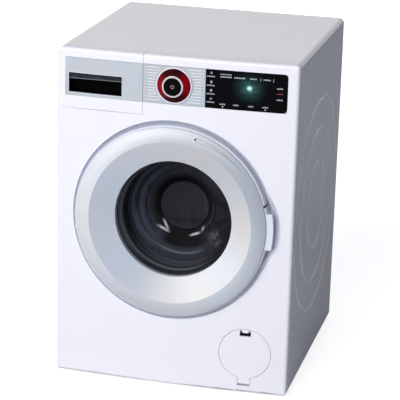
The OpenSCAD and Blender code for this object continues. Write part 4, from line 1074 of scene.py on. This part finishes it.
FINISHES: tuple[Finish, ...] = (
    Finish("white_plastic", (0.83, 0.83, 0.885), 0.30, **MOULDED),
    # Shell white with painted light in bands along the side grooves
    RingLitWhite("shell_white", (0.85, 0.845, 0.865), 0.14, **MOULDED),
    # Front white with painted violet shade in the door's recess and the finger pocket
    ShadedRecessWhite("front_white_painted_shade", (0.83, 0.83, 0.885), 0.30, **MOULDED),
    # Door frame's white, darker and bluer than the others: painted shade on the frame, with a
    # painted shadow in its notch
    NotchShadeWhite("door_frame_shaded_white", (0.705, 0.74, 0.825), 0.32, specular=0.3, drift=0.008,
                 grain_depth=SMOOTH, smear=0.015),
    Finish("grey_white_plastic", (0.70, 0.70, 0.73), 0.5, drift=0.03),
    FasciaSilver("silver_plastic", (0.455, 0.49, 0.535), 0.40, metallic=0.12, specular=0.4,
                 drift_size=0.03, grain_depth=0.000003),
    DoorSilver("door_silver", (0.645, 0.655, 0.685), 0.42, metallic=0.10, specular=0.4,
               drift_size=0.05, grain_depth=SMOOTH, smear=0.03, flake=0.012,
               warm=(1.02, 1.0, 0.975), cool=(0.975, 1.0, 1.025)),
    Lacquer("bezel_chrome", (0.66, 0.60, 0.61), 0.25, metallic=0.3),
    RingSheen("red_gloss", (0.26, 0.003, 0.009), 0.30, specular=0.04, grain_depth=SMOOTH),
    Finish("black_gloss", (0.0018, 0.0020, 0.0028), 0.16, specular=0.05, grain_depth=SMOOTH),
    Finish("cup_black", (0.0010, 0.0012, 0.0012), 0.5, specular=0.02, grain_depth=SMOOTH),
    PullHood("pull_hood", (0.012, 0.017, 0.026), 0.18, specular=0.3, grain_depth=SMOOTH),
    SmokyGlass("smoky_window", (0.033, 0.034, 0.040), 0.26, specular=0.018, grain_depth=SMOOTH,
               smear=0.02),
    ScreenGloss("display_gloss", (0.0018, 0.0020, 0.0028), 0.16, specular=0.05,
                grain_depth=0.000001),
    Finish("screen_glow", (0.10, 0.42, 0.48), 0.3),
    Finish("lamp_clear", (0.85, 0.9, 0.95), 0.1),
    Finish("mark_light", (0.40, 0.43, 0.45), 0.6),
    Finish("mark_white", (0.68, 0.71, 0.76), 0.6),
    Finish("mark_red", (0.16, 0.012, 0.018), 0.6),
    Finish("dot_rose", (0.22, 0.13, 0.15), 0.4),
    Finish("rim_white", (0.66, 0.69, 0.74), 0.4),
    Finish("dark_rubber", (0.05, 0.05, 0.055), 0.75, grain_depth=0.00004),
    Finish("dark_plastic", (0.045, 0.048, 0.055), 0.5, grain_depth=0.00004),
    Finish("clear_tube", (0.7, 0.73, 0.75), 0.3),
    Finish("tub_plastic", (0.50, 0.52, 0.55), 0.45),
    Lacquer("drum_silver", (0.50, 0.52, 0.55), 0.32, metallic=0.7),
    Finish("paddle_plastic", (0.78, 0.79, 0.82), 0.3),
    Finish("gear_plastic", (0.80, 0.77, 0.68), 0.4),
    Finish("bright_steel", (0.60, 0.60, 0.62), 0.28, metallic=1.0, stretch=(1, 1, 8)),
    Finish("motor_can", (0.52, 0.53, 0.55), 0.35, metallic=1.0, stretch=(1, 8, 1)),
    Finish("brass", (0.70, 0.48, 0.20), 0.3, metallic=1.0),
    Finish("green_board", (0.02, 0.18, 0.08), 0.35, coat=0.4),
    Finish("cell_wrap", (0.50, 0.20, 0.04), 0.3, coat=0.5),
)


class Wardrobe:
    """All the finished materials, by name."""

    def __init__(self, finishes: Iterable[Finish]) -> None:
        """Makes each finish once."""
        self.materials = {finish.slot: finish.make() for finish in finishes}

    def dress(self, obj: bpy.types.Object, name: str) -> None:
        """Gives an object one material."""
        obj.data.materials.clear()
        obj.data.materials.append(self.materials[name])


# Meshes --------------------------------------------------------------------------------


@dataclass(frozen=True)
class Layer:
    """A thin layer on the bowed front: how far its back and its face stand proud of it."""

    back: float
    face: float


PRINT = Layer(0.00017, 0.00025)


def link(name: str, data: bpy.types.ID) -> bpy.types.Object:
    """Puts an object into the scene.

    Args:
        name: Name of the object.
        data: Its mesh, light or camera.

    Returns:
        The object.
    """
    obj = bpy.data.objects.new(name, data)
    bpy.context.scene.collection.objects.link(obj)
    return obj


class Maker:
    """Collects faces and turns them into a finished piece.

    A bar is cut so that no stretch is longer than LONGEST, which lets it follow the bow. Points
    nearer than WELD become one.
    """

    LONGEST = 0.004
    WELD = 1e-7

    def __init__(self, name: str) -> None:
        """Starts an empty mesh."""
        self.name = name
        self.mesh = bmesh.new()

    def slab(self, corners: Sequence[Spot], layer: Layer) -> None:
        """Adds a thin plate that follows the bowed front.

        Args:
            corners: Outline on the front as (x, z), anticlockwise seen from the front.
            layer: Where its back and its face lie.
        """
        back = [self.mesh.verts.new((x, BOW.y(x, layer.back), z)) for x, z in corners]
        face = [self.mesh.verts.new((x, BOW.y(x, layer.face), z)) for x, z in corners]
        self.mesh.faces.new(face)
        self.mesh.faces.new(list(reversed(back)))
        for i in range(len(corners)):
            j = (i + 1) % len(corners)
            self.mesh.faces.new((face[j], face[i], back[i], back[j]))

    def bar(self, x0: float, x1: float, z0: float, z1: float, layer: Layer) -> None:
        """Adds a bar that follows the bowed front.

        Args:
            x0: Left end.
            x1: Right end.
            z0: Lower edge.
            z1: Upper edge.
            layer: Where its back and its face lie.
        """
        count = max(1, round((x1 - x0) / self.LONGEST))
        xs = [x0 + (x1 - x0) * i / count for i in range(count + 1)]
        self.slab([(x, z0) for x in xs] + [(x, z1) for x in reversed(xs)], layer)

    def turn(self, profile: Sequence[Spot], centre: Point, steps: int) -> None:
        """Adds a solid turned about an axis along Y.

        Args:
            profile: Closed outline as (radius, y).
            centre: A point on the axis.
            steps: Number of steps round.
        """
        rings = []
        for i in range(steps):
            angle = 2 * math.pi * i / steps
            across, up = math.cos(angle), math.sin(angle)
            rings.append([
                self.mesh.verts.new((centre[0] + r * across, centre[1] + y, centre[2] + r * up))
                for r, y in profile
            ])
        for i in range(steps):
            a, b = rings[i], rings[(i + 1) % steps]
            for j in range(len(profile)):
                k = (j + 1) % len(profile)
                self.mesh.faces.new((a[j], a[k], b[k], b[j]))

    def finish(self, body: str, slot: str, wardrobe: Wardrobe, look: str) -> bpy.types.Object:
        """Makes the piece.

        Args:
            body: CAD body that it rides on.
            slot: Material slot of the record; not used.
            wardrobe: The materials.
            look: Name of the material it wears.

        Returns:
            The finished object.
        """
        bmesh.ops.remove_doubles(self.mesh, verts=self.mesh.verts, dist=self.WELD)
        bmesh.ops.recalc_face_normals(self.mesh, faces=self.mesh.faces)
        data = bpy.data.meshes.new(self.name)
        self.mesh.to_mesh(data)
        self.mesh.free()
        obj = link(self.name, data)
        wardrobe.dress(obj, look)
        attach(obj, body)
        log.info("made %s", self.name)
        return obj


# Sub-assemblies ------------------------------------------------------------------------


class Side(Enum):
    """Side of the knob, with its sign along X."""

    LEFT = -1
    RIGHT = 1


@dataclass
class KnobScale:
    """Rows of light dashes on the silver plate at both sides of the knob.

    A row ends in a dot at its outer end. Its dash starts at one of a few distances from the
    knob, by turns.
    """

    left: float = PLATE.left + 0.0014
    right: float = WINDOW.left - 0.0011
    low: float = PLATE.low + 0.0026
    high: float = PLATE.high - 0.0018
    rows: int = 12
    thickness: float = 0.00078
    clear: float = 0.0148
    nearest: float = 0.0100
    dot: float = 0.0009
    dot_and_gap: float = 0.00198
    starts: int = 3
    most_shortened: float = 0.12

    def row(self, maker: Maker, z: float, side: Side, shortening: int) -> None:
        """Adds the dash and the dot of a row on one side of the knob.

        Args:
            maker: Mesh that takes them.
            z: Middle of the row.
            side: The side.
            shortening: How far the dash is shortened at its inner end, from 0 to starts - 1.
        """
        rise = z - (self.low + self.high) / 2
        reach = math.sqrt(max(self.nearest**2, self.clear**2 - rise * rise))
        inner = KNOB_AXIS[0] + side.value * reach
        outer = self.left if side is Side.LEFT else self.right
        short = self.most_shortened * (outer - inner) * shortening / (self.starts - 1)
        dash = (inner + short, outer - side.value * self.dot_and_gap)
        dot = (outer - side.value * self.dot, outer)
        half = self.thickness / 2
        for ends in (dash, dot):
            maker.bar(*sorted(ends), z - half, z + half, PRINT)

    def build(self, wardrobe: Wardrobe) -> None:
        """Builds the dashes.

        Args:
            wardrobe: The materials.
        """
        maker = Maker("program_dashes")
        pitch = (self.high - self.low) / (self.rows - 1)
        for row in range(self.rows):
            for side in Side:
                shortening = (row * 2 + (side is Side.LEFT)) % self.starts
                self.row(maker, self.low + row * pitch, side, shortening)
        maker.finish("cabinet", "silver_plastic", wardrobe, "mark_white")


@dataclass
class DisplayMarks:
    """Small bars, dots and simple shapes printed on the black display window.

    Places are measured from the window's lower left corner. Rows of blocks stand in for words.
    Their heights vary in a few steps, by turns.
    """

    block_height: float = 0.00105
    block_pitch: float = 0.001595
    block_share: float = 0.74
    block_lowest: float = 0.75
    block_heights: int = 3
    column_x: float = 0.0042
    column_reach: Spot = (-0.0034, 0.0030)
    column_drop: float = 0.0026
    column_rows: tuple[float, ...] = (0.0265, 0.0197, 0.0133, 0.0071)
    column_icon: float = 0.00105
    column_sides: tuple[int, ...] = (3, 4, 5, 3)
    top_z: float = 0.0242
    top_spans: tuple[Spot, ...] = (
        (0.0108, 0.0196), (0.0212, 0.0298), (0.0330, 0.0384), (0.0430, 0.0486))
    second_line: float = 0.0019
    second_share: float = 0.7
    divider_x: tuple[float, ...] = (0.0409, 0.0503)
    divider_width: float = 0.0003
    divider_reach: Spot = (-0.0016, 0.0012)
    low_z: float = 0.0035
    low_spans: tuple[Spot, ...] = (
        (0.0108, 0.0155), (0.0210, 0.0255), (0.0322, 0.0364), (0.0427, 0.0474))
    low_icon: float = 0.0007
    low_icon_drop: float = 0.0019
    low_icon_sides: int = 4
    low_icon_every: int = 3
    right_span: Spot = (0.0532, 0.0580)
    right_rows: tuple[float, ...] = (0.0183, 0.0144, 0.0099)

    def words(self, maker: Maker, span: Spot, z: float, share: float = 1.0) -> None:
        """Adds a row of small blocks that fills a span.

        Args:
            maker: Mesh that takes the blocks.
            span: Start and end of the row.
            z: Middle of the row.
            share: Height of the blocks, as a share of the usual height.
        """
        height = self.block_height * share
        low = WINDOW.low + z - height / 2
        count = max(2, round((span[1] - span[0]) / self.block_pitch))
        pitch = (span[1] - span[0]) / count
        for i in range(count):
            start = WINDOW.left + span[0] + i * pitch
            tall = (i * 2) % self.block_heights / (self.block_heights - 1)
            top = low + height * (self.block_lowest + (1.0 - self.block_lowest) * tall)
            maker.bar(start, start + pitch * self.block_share, low, top, PRINT)

    def icon(self, maker: Maker, spot: Spot, size: float, sides: int) -> None:
        """Adds a small regular shape.

        Args:
            maker: Mesh that takes it.
            spot: Its middle.
            size: Distance of its corners from the middle.
            sides: Number of its sides.
        """
        x, z = WINDOW.left + spot[0], WINDOW.low + spot[1]
        turns = [math.pi / 2 + 2 * math.pi * i / sides for i in range(sides)]
        corners = [(x + size * math.cos(turn), z + size * math.sin(turn)) for turn in turns]
        maker.slab(corners, PRINT)

    def column(self, maker: Maker) -> None:
        """Adds the shapes and words of the left column.

        Args:
            maker: Mesh that takes them.
        """
        span = (self.column_x + self.column_reach[0], self.column_x + self.column_reach[1])
        for z, sides in zip(self.column_rows, self.column_sides):
            self.icon(maker, (self.column_x, z), self.column_icon, sides)
            self.words(maker, span, z - self.column_drop)

    def top(self, maker: Maker) -> None:
        """Adds the upper row with its dividers and the second line of its first word.

        Args:
            maker: Mesh that takes them.
        """
        for span in self.top_spans:
            self.words(maker, span, self.top_z)
        self.words(maker, self.top_spans[0], self.top_z + self.second_line, self.second_share)
        low, high = (WINDOW.low + self.top_z + reach for reach in self.divider_reach)
        for x in self.divider_x:
            start = WINDOW.left + x
            maker.bar(start, start + self.divider_width, low, high, PRINT)

    def bottom(self, maker: Maker) -> None:
        """Adds the lower row, with a shape under some of its words.

        Args:
            maker: Mesh that takes them.
        """
        for span in self.low_spans:
            self.words(maker, span, self.low_z)
        for span in self.low_spans[:: self.low_icon_every]:
            spot = (sum(span) / 2, self.low_z - self.low_icon_drop)
            self.icon(maker, spot, self.low_icon, self.low_icon_sides)

    def build(self, wardrobe: Wardrobe) -> None:
        """Builds the marks.

        Args:
            wardrobe: The materials.
        """
        upper, middle, lower = self.right_rows
        light = Maker("display_marks")
        self.column(light)
        self.top(light)
        self.bottom(light)
        self.words(light, self.right_span, upper)
        self.words(light, self.right_span, lower)
        light.finish("cabinet", "black_gloss", wardrobe, "mark_light")
        red = Maker("display_mark_red")
        self.words(red, self.right_span, middle)
        red.finish("cabinet", "black_gloss", wardrobe, "mark_red")


@dataclass
class KnobCentre:
    """Small rose ring in the middle of the knob's black cap."""

    face: float = outline("knob_cap").front
    root: float = 0.0001
    inner: float = 0.0008
    outer: float = 0.0015
    height: float = 0.00025
    round_off: float = 0.0002
    inner_wall: float = 0.00015
    outer_wall: float = 0.000125
    steps: int = 48

    def build(self, wardrobe: Wardrobe) -> None:
        """Builds the ring.

        Args:
            wardrobe: The materials.
        """
        maker = Maker("knob_centre_ring")
        profile = [
            (self.inner, self.root), (self.inner, -self.inner_wall),
            (self.inner + self.round_off, -self.height),
            (self.outer - self.round_off, -self.height),
            (self.outer, -self.outer_wall), (self.outer, self.root)]
        maker.turn(profile, (KNOB_AXIS[0], self.face, KNOB_AXIS[1]), self.steps)
        maker.finish("knob", "black_gloss", wardrobe, "dot_rose")


@dataclass
class PullHighlightRim:
    """Thin bright rim round the pull opening of the drawer: a raised rim whose light colour is
    partly a painted highlight along the opening's edges.
    """

    cup: Outline = outline("drawer_cup")
    cup_wall: float = 0.0012
    width: float = 0.0005
    layer: Layer = Layer(0.0001, 0.00045)

    def build(self, wardrobe: Wardrobe) -> None:
        """Builds the rim from four bars that meet at its corners.

        Args:
            wardrobe: The materials.
        """
        maker = Maker("pull_highlight_rim")
        width = self.width
        left, right = self.cup.left + self.cup_wall, self.cup.right - self.cup_wall
        low, high = self.cup.low + self.cup_wall, self.cup.high - self.cup_wall
        spans = (
            (left - width, right + width, high, high + width),
            (left - width, right + width, low - width, low),
            (left - width, left, low, high),
            (right, right + width, low, high),
        )
        for span in spans:
            maker.bar(*span, self.layer)
        # light colour: partly a painted highlight along the edges of the opening
        maker.finish("drawer", "silver_plastic", wardrobe, "rim_white")


@dataclass
class SeamLip:
    """White lip on the drawer's front that half fills the seam below it and beside it."""

    block: Outline = outline("drawer_front")
    left_gap: float = 0.0010
    top_gap: float = 0.0015
    reach: float = 0.00026
    bottom: Layer = Layer(-0.00130, -0.00030)
    side: Layer = Layer(-0.00155, -0.00055)

    def build(self, wardrobe: Wardrobe) -> None:
        """Builds both legs of the lip.

        Args:
            wardrobe: The materials.
        """
        maker = Maker("drawer_seam_lip")
        left, top = self.block.left + self.left_gap, self.block.high - self.top_gap
        edge_x, edge_z = self.block.right, self.block.low
        maker.bar(left, edge_x, edge_z - self.reach, edge_z, self.bottom)
        maker.bar(edge_x, edge_x + self.reach, edge_z - self.reach, top, self.side)
        maker.finish("drawer", "white_plastic", wardrobe, "white_plastic")


@dataclass
class Casework:
    """The carried-over parts. Most wear the finish of their slot, and some have their own."""

    own: dict[str, str] = field(default_factory=lambda: {
        "display_window": "display_gloss",
        "front_panel": "front_white_painted_shade",
        "cabinet_shell": "shell_white",
        "knob_bezel": "bezel_chrome",
        "drawer_grip": "pull_hood",
        "drawer_cup": "cup_black",
        "door_frame": "door_frame_shaded_white",
    })

    def dress(self, wardrobe: Wardrobe) -> None:
        """Gives each part its finish.

        Args:
            wardrobe: The materials.
        """
        for entry in frame["record"]["subparts"]:
            name = entry["node"]
            wardrobe.dress(frame["nodes"][name], self.own.get(name, entry["material_slot"]))
            log.info("dressed %s", name)


# Studio --------------------------------------------------------------------------------


@dataclass(frozen=True)
class Lamp:
    """A soft square lamp aimed at the machine."""

    name: str
    place: Point
    size: float
    power: float
    colour: Colour = WHITE
    aim: Point = (0.0, 0.0, 0.13)

    def build(self) -> None:
        """Hangs the lamp."""
        data = bpy.data.lights.new(self.name, "AREA")
        data.shape = "SQUARE"
        data.size = self.size
        data.energy = self.power
        data.color = self.colour
        lamp = link(self.name, data)
        lamp.location = self.place
        way = Vector(self.aim) - Vector(self.place)
        lamp.rotation_euler = way.to_track_quat("-Z", "Y").to_euler()


@dataclass(frozen=True)
class Studio:
    """Floor, world, lamps and camera. The camera's three angles are in degrees."""

    azimuth: float = 13.6871
    elevation: float = 17.3182
    roll: float = 1.6681
    distance: float = 1.4750
    lens: float = 165.114
    sensor: float = 36.0
    near_and_far: Spot = (0.05, 30.0)
    height: float = 0.130
    shift_right: float = -0.0022172
    shift_up: float = -0.0059559
    floor_radius: float = 4.0
    floor_steps: int = 96
    floor_colour: Colour = (0.62, 0.62, 0.63)
    floor_roughness: float = 0.9
    floor_specular: float = 0.1
    floor_glow: Colour = (0.80, 0.80, 0.80)
    ambient: Colour = (0.140, 0.150, 0.190)
    lamps: tuple[Lamp, ...] = (
        Lamp("key", (-0.70, -1.98, 1.17), 1.9, 55.5),
        Lamp("top", (-0.15, 0.45, 1.5), 0.8, 1.2, (1.0, 0.97, 0.90)),
        Lamp("rear", (-0.25, 1.6, 0.12), 0.24, 3.6),
    )

    def camera(self) -> None:
        """Makes the camera."""
        a, e, r = (math.radians(v) for v in (self.azimuth, self.elevation, self.roll))
        back = Vector((math.sin(a) * math.cos(e), -math.cos(a) * math.cos(e), math.sin(e)))
        level = Vector((math.cos(a), math.sin(a), 0.0))
        up = back.cross(level)
        right = math.cos(r) * level + math.sin(r) * up
        upright = math.cos(r) * up - math.sin(r) * level
        target = Vector((0, 0, self.height)) + self.shift_right * right + self.shift_up * upright
        data = bpy.data.cameras.new("camera")
        data.lens = self.lens
        data.sensor_fit = "HORIZONTAL"
        data.sensor_width = self.sensor
        data.clip_start, data.clip_end = self.near_and_far
        camera = link("camera", data)
        turn = Matrix((right, upright, back)).transposed()
        camera.matrix_world = Matrix.Translation(target + self.distance * back) @ turn.to_4x4()
        bpy.context.scene.camera = camera

    def floor(self) -> None:
        """Lays the pale floor, which the camera sees as white outside the shadow.

        Its glow is for camera rays alone, so that the machine's sides don't mirror it.
        """
        mesh = bmesh.new()
        bmesh.ops.create_circle(
            mesh, cap_ends=True, segments=self.floor_steps, radius=self.floor_radius)
        data = bpy.data.meshes.new("floor")
        mesh.to_mesh(data)
        mesh.free()
        shader = Shader("floor")
        shader.set("Base Color", self.floor_colour)
        shader.set("Roughness", self.floor_roughness)
        shader.set("Specular IOR Level", self.floor_specular)
        seen = shader.rays("Is Camera Ray")
        shader.set("Emission Color", shader.blend(seen, BLACK, self.floor_glow))
        shader.set("Emission Strength", 1.0)
        data.materials.append(shader.material)
        link("floor", data)

    def world(self) -> None:
        """Sets a soft bluish surround that the camera, gloss and glass see as white."""
        world = bpy.data.worlds.new("surround")
        bpy.context.scene.world = world
        world.use_nodes = True
        graph = Graph(world.node_tree)
        soft = graph.node("ShaderNodeBackground", {}, {"Color": self.ambient})
        white = graph.node("ShaderNodeBackground", {}, {"Color": WHITE})
        seen = graph.rays("Is Camera Ray", "Is Glossy Ray", "Is Transmission Ray")
        surround = graph.node("ShaderNodeMixShader", {}, {0: seen, 1: soft, 2: white})
        graph.close("ShaderNodeOutputWorld", surround)

    def build(self) -> None:
        """Builds the whole studio."""
        self.camera()
        self.floor()
        self.world()
        for lamp in self.lamps:
            lamp.build()
        bpy.context.scene.view_settings.view_transform = "Standard"


def main() -> None:
    """Builds everything in order."""
    logging.basicConfig(level=logging.INFO)
    Studio().build()
    wardrobe = Wardrobe(FINISHES)
    Casework().dress(wardrobe)
    builders: tuple[Callable[[Wardrobe], None], ...] = (
        KnobScale().build,
        DisplayMarks().build,
        KnobCentre().build,
        PullHighlightRim().build,
        SeamLip().build,
    )
    for build in builders:
        build(wardrobe)


if __name__ == "__main__":
    main()
